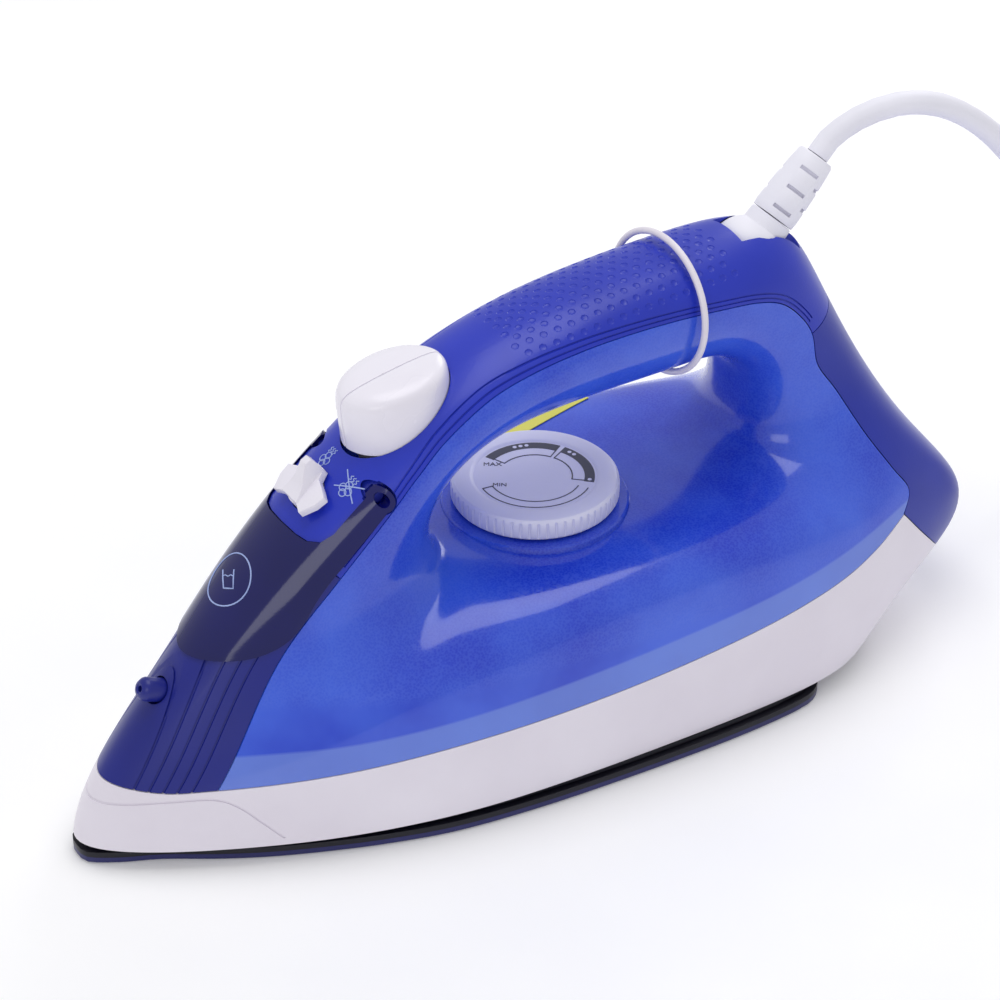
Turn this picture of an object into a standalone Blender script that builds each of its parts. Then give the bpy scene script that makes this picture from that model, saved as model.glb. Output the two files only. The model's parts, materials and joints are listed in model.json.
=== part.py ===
"""Compact steam iron, built as an assembly of named sub-parts.

Lengths in the tables are millimetres.  X runs from the nose of the sole (0) to the heel,
Y is sideways (the user's left is minus) and Z is up from the ironing surface.  at() turns
such a place into metres in the object's own frame, whose origin is under the middle.
"""
import math

import bmesh
import bpy
import numpy as np
from mathutils import Matrix, Vector

# ---------------------------------------------------------------- driving dimensions
MM = 0.001
MID_X = 146.45           # X of the middle of the object, nose to heel
GAP = 0.3                # clearance between neighbouring pieces
WALL = 2.4               # wall of the tank, the skirt and the rear cover
THICK_WALL = 4.4         # wall of the grip and the nose, which carry the hinged door
LEDGE = 1.6              # how deep the door sits below the outer surface
PROUD = 0.7              # how far the door stands out of it

SOLE_T = 3.5             # sole plate
RIM_TOP = 5.2            # dark rim between the sole and the skirt
SKIRT_Z = 5.5            # underside of the skirt
CASTING_TOP = 15.0       # heater casting
TANK_FLOOR_Z = 34.0      # underside of the tank floor
TANK_FLOOR_T = 2.0

DIAL = (150.0, 0.0)      # axis of the temperature dial
DIAL_R = 24.3
DIAL_Z = (67.0, 73.8)
SEAT_R = 27.0

LEVER = (76.5, 0.0, 93.8)
LEVER_TILT = -33.0       # lean of the lever's axis towards the nose, degrees
BUTTONS = (104.5, 0.0, 111.5)
BUTTON_TILT = -6.0
PUMP_X = -4.0            # pumps ahead of the buttons' middle
PUMP_Y = 7.0
BUTTON_HALF = (16.4, 13.0)
DOOR_PIN = (89.5, 96.6)  # X and Z of the fill door's hinge
BOSS_R = 3.3             # round end of the door's arms
BOSS_Y = 14.5            # flat inner face of that end
VALVE_X = 76.0           # drip valve and its needle

BALL = (221.0, 0.0, 124.6)
BALL_R = 11.0
SLEEVE_ANGLE = 46.0      # how steeply the cord leaves, degrees above level
SLEEVE_SWING = (-12, 42) # how far it can swing back and up
SLEEVE_END = 34.0        # from the ball's middle to the end of the sleeve
CORD_R = 3.5
COIL = (408.0, -30.0)    # middle of the coiled cord on the table
COIL_R = (32.0, 46.0)
COIL_Z = (1.2, 22.2)     # underside and top of the coil
PLUG_Z = 39.9             # the plug lies on the coil

BELOW = -16.0            # the outer form runs on below the skirt, which cuts it off flat

# half widths of the sole: (X, half width)
SOLE_HALF = [(0, 0), (1, 4.6), (8.5, 9.6), (19, 14.6), (32, 22.6), (45, 29.6), (60, 36.2),
             (76, 42.2), (95, 47.6), (120, 51.2), (150, 53.4), (183, 54.6), (208, 53.6),
             (217, 50.5), (221, 44), (222, 34)]

# The outer form is a ring round the hand opening.  Each row is one spoke of the cage, from the
# opening's edge on the middle plane, over the side, to the outer edge on the middle plane.
CAGE = [
    # nose
    [(118, 0, 66.5), (115, 17, 66), (104, 33.5, 61), (86, 43.5, 49.5), (55, 36.5, 21), (8, 16, BELOW), (-7, 0, BELOW)],
    [(115.5, 0, 67), (112, 15, 66), (98, 30, 59.5), (76, 39.5, 47), (42, 29.5, 25), (8, 13.5, 12), (-5, 0, 10)],
    [(114, 0, 69), (110, 14, 68), (96, 27, 61.5), (72, 32, 50), (42, 24, 37), (17, 11.5, 28), (6.5, 0, 25)],
    [(113, 0, 72), (110, 12, 71), (98, 21, 70), (77, 24, 63), (55, 21, 55), (33, 11.5, 47), (24, 0, 44.5)],
    [(112, 0, 77.5), (109, 12.5, 77), (97, 20.5, 74.5), (82, 22.5, 72), (63, 19.5, 70.5), (50, 11, 69),
     (46.5, 0, 68.3)],
    [(112.5, 0, 84), (109.5, 13, 84), (100, 20.5, 84.5), (89, 22, 86), (78.5, 19, 87.5), (70.5, 11, 88),
     (68, 0, 88)],
    [(116, 0, 91.5), (113.5, 13, 91.5), (107, 20, 94), (101, 21.5, 97), (95, 19, 100.5), (91, 11, 103.5),
     (90, 0, 104)],
    [(123, 0, 97.5), (121, 12.5, 98), (117, 19.5, 101.5), (113, 21, 106), (110, 18.5, 111.3), (108.5, 11, 114.5),
     (108, 0, 115.2)],
    # grip
    [(134, 0, 99.6), (133, 12, 100.4), (131, 19, 106.5), (129.5, 20.5, 113.5), (127.5, 18, 119.5),
     (126.5, 10, 123), (126, 0, 124)],
    [(148, 0, 100.6), (147.5, 12, 101.4), (147, 19, 109), (147, 20.5, 118), (147, 17.5, 125), (147, 9.5, 129),
     (147, 0, 130)],
    [(162, 0, 100.8), (162, 12, 101.6), (162, 19, 109.6), (163.5, 20.5, 119.5), (165, 17.5, 127.3),
     (166.5, 9.5, 131.8), (168, 0, 133.2)],
    [(176, 0, 100.5), (176, 12, 101.3), (177, 19, 109.8), (180, 20.5, 120), (183, 17.5, 128.5), (187, 9.5, 133.2),
     (190, 0, 134.6)],
    [(190, 0, 100), (190, 12, 101.2), (191.5, 19, 110), (196, 20.5, 120), (201, 17.5, 128.6),
     (207, 9.5, 134.4), (211, 0, 135.9)],
    # back of the grip and the back face
    [(200, 0, 100), (200.5, 12, 101.5), (203, 19, 110), (210, 20.5, 119), (220, 17.5, 128), (230, 9.5, 133.4),
     (236, 0, 135)],
    [(208, 0, 97.5), (209, 12.5, 99), (213, 19, 106), (221, 20.5, 111.5), (231.5, 18.5, 114), (241, 12, 114.5),
     (245, 0, 113)],
    [(213, 0, 93.5), (214.5, 13, 94.5), (220, 19.5, 99), (231, 21.5, 100.5), (243, 20.5, 96), (253.5, 15, 88.5),
     (257.5, 0, 87)],
    [(216, 0, 87), (217.5, 13.5, 87.5), (225, 20.5, 91), (239, 23.5, 88.5), (256, 24.5, 75), (271.5, 20.5, 59),
     (276.5, 0, 56.5)],
    [(216, 0, 80), (218, 14, 80), (228, 22.5, 82), (246, 28.5, 76), (269, 32, 57), (296, 29.5, 34),
     (300, 0, 28)],
    [(214, 0, 72), (217, 15, 72), (228, 26, 72.5), (248, 34.5, 64), (271, 37.5, 42), (286, 31.5, 18),
     (289, 0, 14)],
    [(209, 0, 68.5), (213, 17, 67.8), (224, 32, 65.8), (240, 41.5, 58), (252, 45.5, 34), (252, 43.5, 10),
     (254, 0, 7)],
    [(199, 0, 66.5), (203, 20, 66), (212, 40, 64.2), (223, 47.8, 56.5), (229, 52, 30), (226, 52.5, BELOW),
     (226, 0, BELOW)],
    # underside, heel to nose
    [(184, 0, 65.6), (187, 23, 65.4), (191, 46.3, 64), (196, 51.6, 55), (200, 54.5, 31), (205, 54.8, BELOW),
     (205, 0, BELOW)],
    [(168, 0, 65.3), (169, 23, 65.1), (169, 47.3, 63.7), (168, 51.8, 54.5), (167, 53.5, 30), (165, 54.6, BELOW),
     (165, 0, BELOW)],
    [(152, 0, 65.3), (152, 23, 65.1), (149, 46.3, 63.4), (144, 50.8, 53.5), (136, 52.5, 28), (122, 52.6, BELOW),
     (125, 0, BELOW)],
    [(136, 0, 65.4), (135, 21, 65), (129, 42.5, 62.8), (119, 48.7, 52.3), (106, 49.8, 26), (87, 49, BELOW),
     (85, 0, BELOW)],
    [(124, 0, 65.9), (122, 19, 65.2), (114, 37.5, 61.8), (100, 46.3, 51), (78, 44.5, 23), (44, 35, BELOW), (40, 0, BELOW)],
]

# Seams between the casings, as lines in the side view: (X, Z)
SKIRT_SEAM = [(-20, 26.5), (2, 24.5), (20, 23.2), (33, 24.2), (63, 26.7), (97, 29.3), (160, 32.3), (216, 37.5),
              (238, 41), (254, 45.5)]
HEEL_SEAM = [(254, 45.5), (262, 36), (272, 25), (282, 14), (300, -4)]
NOSE_SEAM = [(33, 24.2), (55.5, 57), (75, 77.3), (93, 94.5)]
GRIP_SEAM = [(93, 94.5), (100, 101), (110, 109), (124, 116.5), (138, 120.6), (153, 122.8), (168, 123.5), (184, 123.2),
             (200, 122), (211.7, 120.5), (220.2, 117.5), (226.7, 111.8), (231, 104.9), (232.5, 95)]
BACK_SEAM = [(232.5, 95), (238.5, 85), (246, 70.5), (253, 59), (258, 51), (254, 45.5)]
PANEL_SEAM = [(57, 97), (75, 77.3)]
CROWN_SEAM = [(231, 104.9), (262, 114)]
DOOR_EDGE = [(17, 60), (29, 55.6), (40, 56.8), (50, 58.6), (58, 62), (63.5, 66.8), (67, 71.5), (71.5, 76.5),
             (78, 82.6), (84, 88)]
# The lever's panel lies between the door's arms: (distance along the panel from the lever, half width)
PANEL_HALF = [(-10.6, 1), (-10.4, 7), (-9.6, 11), (-7.2, 14), (-3, 15.2), (40, 15.2)]

PARTS = None
CUTTERS = None


# ---------------------------------------------------------------- frame and materials
def at(x, y, z):
    """A place in metres in the object's own frame."""
    return Vector(((x - MID_X) * MM, y * MM, z * MM))


def colour(r, g, b):
    """8-bit display colour as linear values."""
    return tuple((c / 255) ** 2.2 for c in (r, g, b)) + (1.0,)


def material(name, rgb, rough=0.5, metal=0.0, see_through=0.0):
    mat = bpy.data.materials.get(name) or bpy.data.materials.new(name)
    mat.use_nodes = True
    shader = mat.node_tree.nodes["Principled BSDF"]
    shader.inputs["Base Color"].default_value = colour(*rgb)
    shader.inputs["Roughness"].default_value = rough
    shader.inputs["Metallic"].default_value = metal
    shader.inputs["Transmission Weight"].default_value = see_through
    mat.diffuse_color = colour(*rgb)
    return mat


PALETTE = {
    "grip_blue": ((49, 63, 170), 0.62),
    "nose_blue": ((40, 46, 126), 0.45),
    "rear_blue": ((45, 53, 150), 0.58),
    "tank_blue": ((64, 93, 219), 0.08, 0.0, 0.6),
    "door_blue": ((27, 30, 98), 0.06, 0.0, 0.5),
    "white_plastic": ((229, 226, 238), 0.38),
    "sleeve_white": ((238, 236, 248), 0.5),
    "sole_coating": ((50, 50, 106), 0.25, 0.6),
    "rim_black": ((18, 18, 26), 0.6),
    "cast_aluminium": ((150, 150, 155), 0.55, 1.0),
    "sheet_steel": ((176, 178, 182), 0.35, 1.0),
    "brass": ((182, 148, 76), 0.3, 1.0),
    "heater_tube": ((92, 92, 90), 0.5, 1.0),
    "rubber_grey": ((60, 60, 64), 0.8),
    "ceramic_white": ((222, 218, 206), 0.6),
    "label_yellow": ((213, 210, 113), 0.7),
}


def paint(name):
    return material(name, *PALETTE[name])


def collection(name):
    found = bpy.data.collections.new(name)
    bpy.context.scene.collection.children.link(found)
    return found


# ---------------------------------------------------------------- building blocks
def add(name, mesh, mat=None, matrix=None):
    """Put a mesh in the scene: a sub-part when it has a material, else a cutter."""
    obj = bpy.data.objects.new(name, mesh)
    if mat:
        obj.data.materials.append(paint(mat))
        PARTS.objects.link(obj)
    else:
        CUTTERS.objects.link(obj)
        obj.hide_render = True
        obj.display_type = "WIRE"
    if matrix:
        obj.matrix_world = matrix
    return obj


def from_bmesh(name, bm):
    bmesh.ops.recalc_face_normals(bm, faces=bm.faces)
    mesh = bpy.data.meshes.new(name)
    bm.to_mesh(mesh)
    bm.free()
    return mesh


def prism_mesh(name, points, step):
    """A flat outline pushed along step."""
    bm = bmesh.new()
    face = bm.faces.new([bm.verts.new(p) for p in points])
    pushed = bmesh.ops.extrude_face_region(bm, geom=[face])
    moved = [v for v in pushed["geom"] if isinstance(v, bmesh.types.BMVert)]
    bmesh.ops.translate(bm, vec=step, verts=moved)
    return from_bmesh(name, bm)


def inset(points, gap):
    """A closed 2-D outline moved inward by gap, with mitred corners."""
    pts = [Vector(p) for p in points]
    area = sum(a.x * b.y - b.x * a.y for a, b in zip(pts, pts[1:] + pts[:1]))
    side = 1 if area > 0 else -1
    moved = []
    for before, here, after in zip(pts[-1:] + pts[:-1], pts, pts[1:] + pts[:1]):
        one = (here - before).normalized()
        two = (after - here).normalized()
        normal = Vector((-one.y - two.y, one.x + two.x)).normalized() * side
        reach = gap / max(0.35, normal.dot(Vector((-one.y, one.x)) * side))
        moved.append(here + normal * reach)
    return moved


def side_prism(name, outline, half=70.0, gap=GAP / 2):
    """A cutter from an outline in the side view, right through the iron."""
    ring = [at(p.x, -half, p.y) for p in inset(outline, gap)]
    return add(name, prism_mesh(name, ring, Vector((0, 2 * half * MM, 0))))


def half_width(x):
    """Half width of the sole at X."""
    xs, ys = zip(*SOLE_HALF)
    return float(np.interp(x, xs, ys))


def plan(inward, start, end, steps=12):
    """The sole's outline moved inward, between two stations, as (X, Y) points."""
    xs = [start + (end - start) * (1 - math.cos(math.pi * i / steps)) / 2 for i in range(steps + 1)]
    side = [(x, max(2.0, half_width(x) - inward)) for x in xs]
    return side + [(x, -y) for x, y in reversed(side)]


def plate(name, outline, low, high, mat=None):
    ring = [at(x, y, low) for x, y in outline]
    return add(name, prism_mesh(name, ring, Vector((0, 0, (high - low) * MM))), mat)


def frame_at(place, tilt=0.0):
    """A frame at a place, leaning about Y: minus leans its Z towards the nose."""
    return Matrix.Translation(at(*place)) @ Matrix.Rotation(math.radians(tilt), 4, "Y")


def along(start, end):
    """A frame whose Z runs from one place to another."""
    one = at(*start)
    way = at(*end) - one
    return Matrix.Translation(one) @ way.to_track_quat("Z", "Y").to_matrix().to_4x4()


def turned(name, profile, mat=None, matrix=None, sides=24):
    """A profile of (radius, height), from the top down its outer side, spun about local Z."""
    mesh = bpy.data.meshes.new(name)
    verts = [(r * MM, 0, z * MM) for r, z in profile]
    edges = [(i, (i + 1) % len(verts)) for i in range(len(verts))]
    edges = [(i, j) for i, j in edges if profile[i][0] > 0 or profile[j][0] > 0]
    mesh.from_pydata(verts, edges, [])
    obj = add(name, mesh, mat, matrix)
    spin = obj.modifiers.new("Spin", "SCREW")
    spin.steps = sides
    spin.render_steps = sides
    spin.use_merge_vertices = True
    spin.merge_threshold = 0.00001
    return obj


def rod(name, start, end, radius, mat=None, sides=16):
    """A plain cylinder between two places."""
    length = (at(*end) - at(*start)).length
    bm = bmesh.new()
    bmesh.ops.create_cone(bm, cap_ends=True, segments=sides, radius1=radius * MM, radius2=radius * MM,
                          depth=length)
    bmesh.ops.translate(bm, vec=(0, 0, length / 2), verts=bm.verts)
    return add(name, from_bmesh(name, bm), mat, along(start, end))


def box(name, low, high, mat=None):
    bm = bmesh.new()
    bmesh.ops.create_cube(bm, size=1.0)
    one, two = at(*low), at(*high)
    bmesh.ops.scale(bm, vec=two - one, verts=bm.verts)
    bmesh.ops.translate(bm, vec=(one + two) / 2, verts=bm.verts)
    return add(name, from_bmesh(name, bm), mat)


def smooth_path(points, spacing):
    """Points read off a smooth curve through the route's own points."""
    pts = [Vector(p) for p in points]
    ends = [pts[0] * 2 - pts[1]] + pts + [pts[-1] * 2 - pts[-2]]
    out = [pts[0]]
    for a, b, c, d in zip(ends, ends[1:], ends[2:], ends[3:]):
        count = max(1, round((c - b).length / spacing))
        for i in range(1, count + 1):
            t = i / count
            out.append(0.5 * ((2 * b) + (c - a) * t + (2 * a - 5 * b + 4 * c - d) * t * t
                              + (3 * b - a - 3 * c + d) * t ** 3))
    return out


def tube(name, points, radius, mat, spacing=18.0, resolution=2, solid=False):
    """A round tube along a smooth route; as a mesh when it has to be cut."""
    curve = bpy.data.curves.new(name, "CURVE")
    curve.dimensions = "3D"
    curve.bevel_depth = radius * MM
    curve.bevel_resolution = resolution
    curve.use_fill_caps = True
    route = smooth_path(points, spacing)
    spline = curve.splines.new("POLY")
    spline.points.add(len(route) - 1)
    for point, place in zip(spline.points, route):
        point.co = (*at(*place), 1.0)
    obj = bpy.data.objects.new(name, curve)
    if not solid:
        obj.data.materials.append(paint(mat))
        PARTS.objects.link(obj)
        return obj
    CUTTERS.objects.link(obj)
    mesh = bpy.data.meshes.new_from_object(obj.evaluated_get(bpy.context.evaluated_depsgraph_get()))
    bpy.data.objects.remove(obj)
    bm = bmesh.new()
    bm.from_mesh(mesh)
    bmesh.ops.remove_doubles(bm, verts=bm.verts, dist=0.00001)
    return add(name, from_bmesh(name, bm), mat)


def combine(obj, cutter, how="DIFFERENCE"):
    step = obj.modifiers.new(cutter.name, "BOOLEAN")
    step.operation = how
    step.solver = "EXACT"
    step.object = cutter
    return obj


def soften(obj, width, segments=1, angle=40.0):
    step = obj.modifiers.new("Soft edge", "BEVEL")
    step.width = width * MM
    step.segments = segments
    step.limit_method = "ANGLE"
    step.angle_limit = math.radians(angle)
    return obj


# ---------------------------------------------------------------- the outer form
def form_mesh(name, depth):
    """Half of the ring cage, moved inward by depth along its own normals."""
    bm = bmesh.new()
    spokes = [[bm.verts.new(at(x, -y, z)) for x, y, z in spoke] for spoke in CAGE]
    for one, two in zip(spokes, spokes[1:] + spokes[:1]):
        for j in range(len(one) - 1):
            bm.faces.new((one[j], two[j], two[j + 1], one[j + 1]))
    bm.normal_update()
    crown = max(bm.faces, key=lambda f: f.calc_center_median().z)
    if crown.normal.z < 0:
        bmesh.ops.reverse_faces(bm, faces=bm.faces)
        bm.normal_update()
    shifts = []
    for vert in bm.verts:
        way = vert.normal.copy()
        if abs(vert.co.y) < 1e-9:
            way.y = 0.0
        shifts.append((vert, way.normalized() * depth * MM))
    for vert, shift in shifts:
        vert.co -= shift
    mesh = bpy.data.meshes.new(name)
    bm.to_mesh(mesh)
    bm.free()
    return mesh


def form(name, depth, mat=None, levels=1):
    """The whole outer form, or the same form shrunk inward by depth."""
    obj = add(name, form_mesh(name, depth), mat)
    mirror = obj.modifiers.new("Other half", "MIRROR")
    mirror.use_axis = (False, True, False)
    mirror.merge_threshold = 0.00005
    smooth = obj.modifiers.new("Smooth", "SUBSURF")
    smooth.levels = levels
    smooth.render_levels = levels
    return obj


def casing(name, outline, mat, hollow):
    """A shell piece: the outer form inside one region of the side view, hollowed out."""
    obj = form(name, 0.0, mat)
    combine(obj, side_prism("region_" + name, outline), "INTERSECT")
    combine(obj, hollow)
    return obj


def tilted(place, tilt, out):
    """The place a distance out along an axis that leans by tilt."""
    lean = math.radians(tilt)
    return (place[0] + out * math.sin(lean), place[1], place[2] + out * math.cos(lean))


# ---------------------------------------------------------------- casings
def make_skirt(thin):
    outline = [(-20, SKIRT_Z - GAP / 2), *SKIRT_SEAM, *HEEL_SEAM[1:-1], (291, SKIRT_Z - GAP / 2)]
    return casing("heat_skirt", outline, "white_plastic", thin)


def make_tank(thin):
    outline = SKIRT_SEAM[3:] + BACK_SEAM[-2::-1] + GRIP_SEAM[-2::-1] + NOSE_SEAM[-2:0:-1]
    tank = casing("water_tank", outline, "tank_blue", thin)
    seat = turned("cut_seat", [(0, 66.6), (SEAT_R, 66.6), (SEAT_R + 0.6, 63.4), (0, 63.4)],
                  matrix=frame_at((*DIAL, 0)), sides=28)
    combine(tank, seat, "UNION")
    combine(tank, rod("cut_spindle_hole", (*DIAL, 50), (*DIAL, 75), 4.0))
    return tank


def make_nose(thick, door_room):
    outline = [(-20, 27), *SKIRT_SEAM[1:4], *NOSE_SEAM[1:3], PANEL_SEAM[0], (-20, 100)]
    nose = casing("nose_cover", outline, "nose_blue", thick)
    combine(nose, door_room)
    combine(nose, rod("cut_nozzle", (18, 0, 50.5), (40, 0, 40), 4.0))
    combine(nose, rod("cut_inlet", tilted((57, 0, 80), -46, 12), tilted((57, 0, 80), -46, -14), 8.3))
    return nose


def make_grip(thick, door_room):
    outline = [PANEL_SEAM[0], NOSE_SEAM[2], *GRIP_SEAM[:-1], CROWN_SEAM[1], (262, 160), (30, 160)]
    grip = casing("handle_cover", outline, "grip_blue", thick)
    combine(grip, door_room)
    combine(grip, turned("cut_lever_dish", [(0, 12), (5.4, 12), (5.4, -2.6), (4.0, -2.6), (4.0, -14), (0, -14)],
                         matrix=frame_at(LEVER, LEVER_TILT)))
    combine(grip, button_block("cut_button_well", GAP * 2, -14.0, 30.0))
    for side in (-1, 1):
        combine(grip, rod(f"cut_pin_{side}", pin_place(side, 12), pin_place(side, 24), 1.9))
        combine(grip, rod(f"cut_boss_{side}", pin_place(side, BOSS_Y - GAP), pin_place(side, 30), BOSS_R + 2 * GAP,
                          sides=20))
    combine(grip, ball_room())
    return grip


def make_rear(thin):
    outline = [CROWN_SEAM[1], *GRIP_SEAM[-2:], *BACK_SEAM[1:], *HEEL_SEAM[1:], (330, -4), (330, 114)]
    rear = casing("rear_cover", outline, "rear_blue", thin)
    for side in (-1, 1):
        combine(rear, rod(f"cut_rear_screw_{side}", (262, side * 9, 56), (292, side * 9, 74), 2.3))
    return rear


def door_parts(mid):
    """The door, and the room it needs in the nose and the grip."""
    door = form("fill_door", -PROUD, "door_blue")
    combine(door, side_prism("region_fill_door", door_outline(BOSS_R), gap=GAP / 2), "INTERSECT")
    combine(door, mid)
    combine(door, panel("door", GAP / 2, BOSS_R))
    combine(door, rod("cut_boss_inside", pin_place(-1, BOSS_Y), pin_place(1, BOSS_Y), BOSS_R + 0.8, sides=20))
    for side in (-1, 1):
        combine(door, rod(f"cut_arm_{side}", pin_place(side, 10), pin_place(side, 26), 1.8))
    room = side_prism("cut_door_room", door_outline(BOSS_R + GAP), gap=-GAP / 2)
    combine(room, form("cut_door_bed", LEDGE + GAP))
    combine(room, panel("room", -GAP / 2, BOSS_R + GAP))
    return door, room


def door_outline(boss):
    """The door in the side view: its lower edge, the round boss, and open at the top."""
    arc = [math.radians(a) for a in range(-82, 131, 21)]
    ring = [(DOOR_PIN[0] + boss * math.cos(a), DOOR_PIN[1] + boss * math.sin(a)) for a in arc]
    return DOOR_EDGE + ring + [(78, 116), (17, 116)]


def panel(name, grow, boss):
    """The block over the lever's panel, square to it, less the round bosses beside it."""
    side = [(u - grow, half + grow) for u, half in PANEL_HALF]
    ring = [Vector((u * MM, half * MM, -12 * MM)) for u, half in side]
    ring += [Vector((u * MM, -half * MM, -12 * MM)) for u, half in reversed(side)]
    block = add("cut_panel_" + name, prism_mesh("cut_panel_" + name, ring, Vector((0, 0, 34 * MM))), None,
                frame_at(LEVER, LEVER_TILT))
    return combine(block, rod("cut_boss_" + name, pin_place(-1, 30), pin_place(1, 30), boss, sides=24))


def pin_place(side, y):
    return (DOOR_PIN[0], side * y, DOOR_PIN[1])


def make_door_pins():
    for side, word in ((-1, "left"), (1, "right")):
        rod("door_pin_" + word, pin_place(side, 12.4), pin_place(side, 16.2), 1.5, "white_plastic", 12)


# ---------------------------------------------------------------- base, heater and valve
def make_base():
    outline = [(x, y) for x, y in SOLE_HALF] + [(x, -y) for x, y in reversed(SOLE_HALF[1:])]
    sole = plate("soleplate", outline, 0, SOLE_T, "sole_coating")
    soften(sole, 0.9)
    spots = [(26, 0), (38, 9), (54, 17), (74, 24), (98, 29), (124, 32), (60, 0), (84, 0)]
    for i, (x, y) in enumerate(spots):
        for side in ((-1, 1) if y else (1,)):
            combine(sole, rod(f"cut_steam_{i}_{side}", (x, side * y, -2), (x, side * y, 6), 1.4, sides=8))
    rim = plate("insulating_rim", plan(1.6, 4.5, 219, 16), SOLE_T + GAP, RIM_TOP, "rim_black")
    combine(rim, plate("cut_rim", plan(7.0, 16, 213, 14), 0, 10))
    casting = plate("heater_casting", plan(7.6, 17, 212.5, 14), SOLE_T + GAP, CASTING_TOP, "cast_aluminium")
    combine(casting, plate("cut_chamber", plan(19, 50, 128, 8), 9, 20))
    combine(casting, tube("cut_groove", element_route(), 3.9, None, 14, 2, True))
    tube("heating_element", element_route(), 3.4, "heater_tube", 14, 2)
    cover = plate("steam_chamber_cover", plan(18, 48, 131, 8), CASTING_TOP + GAP, CASTING_TOP + 2, "sheet_steel")
    combine(cover, rod("cut_cover_hole", (VALVE_X, 0, 10), (VALVE_X, 0, 20), 1.6, sides=12))


def element_route():
    side = [(203, 24, 26), (202, 25, 19), (196, 28, 13.2), (184, 33, 12.2), (150, 38, 12.2), (118, 36.5, 12.2),
            (88, 30.5, 12.2), (62, 21.5, 12.2), (46, 13, 12.2)]
    return side + [(38.5, 0, 12.2)] + [(x, -y, z) for x, y, z in reversed(side)]


def make_thermostat():
    turned("thermostat", [(0, 25), (5.5, 25), (5.5, 22), (11, 22), (11, 15.3), (0, 15.3)], "ceramic_white",
           frame_at((*DIAL, 0)))
    rod("thermal_fuse", (172, 12, 19), (192, 12, 19), 2.6, "ceramic_white", 12)
    box("fuse_clip", (178, 8, CASTING_TOP + GAP), (186, 16, CASTING_TOP + 1.1), "sheet_steel")
    box("terminal_block", (212, -16, 44), (224, 16, 56), "ceramic_white")
    for side, word in ((-1, "live"), (1, "neutral")):
        route = [(204, side * 24, 29.7), (206, side * 22, 36), (212, side * 14, 40), (217, side * 9, 43.0)]
        tube(word + "_lead", route, 1.2, "ceramic_white", 6)
        upper = [(218, side * 5, 56.4), (222, side * 5, 72), (226, side * 5, 90), (223.5, side * 4, 108)]
        tube(word + "_handle_wire", upper, 1.2, "rubber_grey", 8)


def make_tank_inside():
    floor_top = TANK_FLOOR_Z + TANK_FLOOR_T
    tray = plate("tank_floor", plan(9.2, 52, 200, 12), TANK_FLOOR_Z, floor_top, "white_plastic")
    combine(tray, rod("cut_floor_spindle", (*DIAL, 30), (*DIAL, 40), 4.0))
    combine(tray, rod("cut_floor_valve", (VALVE_X, 0, 30), (VALVE_X, 0, 40), 1.8, sides=12))
    turned("spindle_sleeve", [(3.6, 62.2), (6.0, 62.2), (6.0, floor_top + GAP), (3.6, floor_top + GAP)],
           "tank_blue", frame_at((*DIAL, 0)), 20)
    turned("drip_valve", [(1.6, floor_top + 7), (3.4, floor_top + 7), (5.2, floor_top + 3),
                          (5.2, floor_top + GAP), (1.6, floor_top + GAP)], "brass", frame_at((VALVE_X, 0, 0)), 16)
    turned("drip_tube", [(1.7, TANK_FLOOR_Z - GAP), (3.4, TANK_FLOOR_Z - GAP), (3.4, CASTING_TOP + 2.3),
                         (1.7, CASTING_TOP + 2.3)], "rubber_grey", frame_at((VALVE_X, 0, 0)), 16)
    rod("valve_needle", (VALVE_X, 0, 43.8), (VALVE_X, 0, 81.2), 1.1, "brass", 12)
    slope = [(5.6, 6), (8.0, 6), (8.0, 4.5), (6.6, 4.5), (6.6, -6), (5.6, -6)]
    turned("filler_funnel", slope, "white_plastic", frame_at((57, 0, 80), -46) @ Matrix.Translation((0, 0, -11.6 * MM)),
           20)


# ---------------------------------------------------------------- controls
def make_dial():
    low, high = DIAL_Z
    profile = [(0, high - 0.6), (17.5, high - 0.6), (18.5, high), (DIAL_R - 2.4, high), (DIAL_R, high - 2.4),
               (DIAL_R, low + 1.0), (DIAL_R - 1, low), (0, low)]
    turned("temperature_dial", profile, "white_plastic", frame_at((*DIAL, 0)), 40)
    profile = [(0, low - GAP), (2.6, low - GAP), (2.6, 25.3), (0, 25.3)]
    turned("dial_spindle", profile, "sheet_steel", frame_at((*DIAL, 0)), 12)


def make_lever():
    """A fishtail plate on a round hub, with a finger blade that points to the symbols behind it."""
    place = frame_at(LEVER, LEVER_TILT)
    lever = turned("steam_lever", [(0, 1.8), (5.0, 1.8), (5.0, -2.2), (0, -2.2)], "white_plastic", place)
    half = [(7.4, 1.6), (4.4, 3.2), (1.8, 9.8), (-5.8, 7.0), (-5.0, 2.0)]
    plan_ring = [Vector((u * MM, y * MM, 0.9 * MM)) for u, y in half + [(u, -y) for u, y in reversed(half)]]
    tail = add("cut_lever_tail", prism_mesh("cut_lever_tail", plan_ring, Vector((0, 0, 2.3 * MM))), None, place)
    combine(lever, tail, "UNION")
    side = [(-4.6, 1.4), (-4.4, 3.7), (0.5, 5.4), (4.6, 8.8), (6.6, 8.6), (7.1, 6.5), (7.2, 1.4)]
    side_ring = [Vector((u * MM, -2.6 * MM, h * MM)) for u, h in side]
    blade = add("cut_lever_blade", prism_mesh("cut_lever_blade", side_ring, Vector((0, 5.2 * MM, 0))), None, place)
    combine(lever, blade, "UNION")
    turned("lever_stem", [(0, -2.5), (3.4, -2.5), (3.4, -8), (1.9, -8), (1.9, -11), (0, -11)], "white_plastic",
           place, 16)


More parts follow.
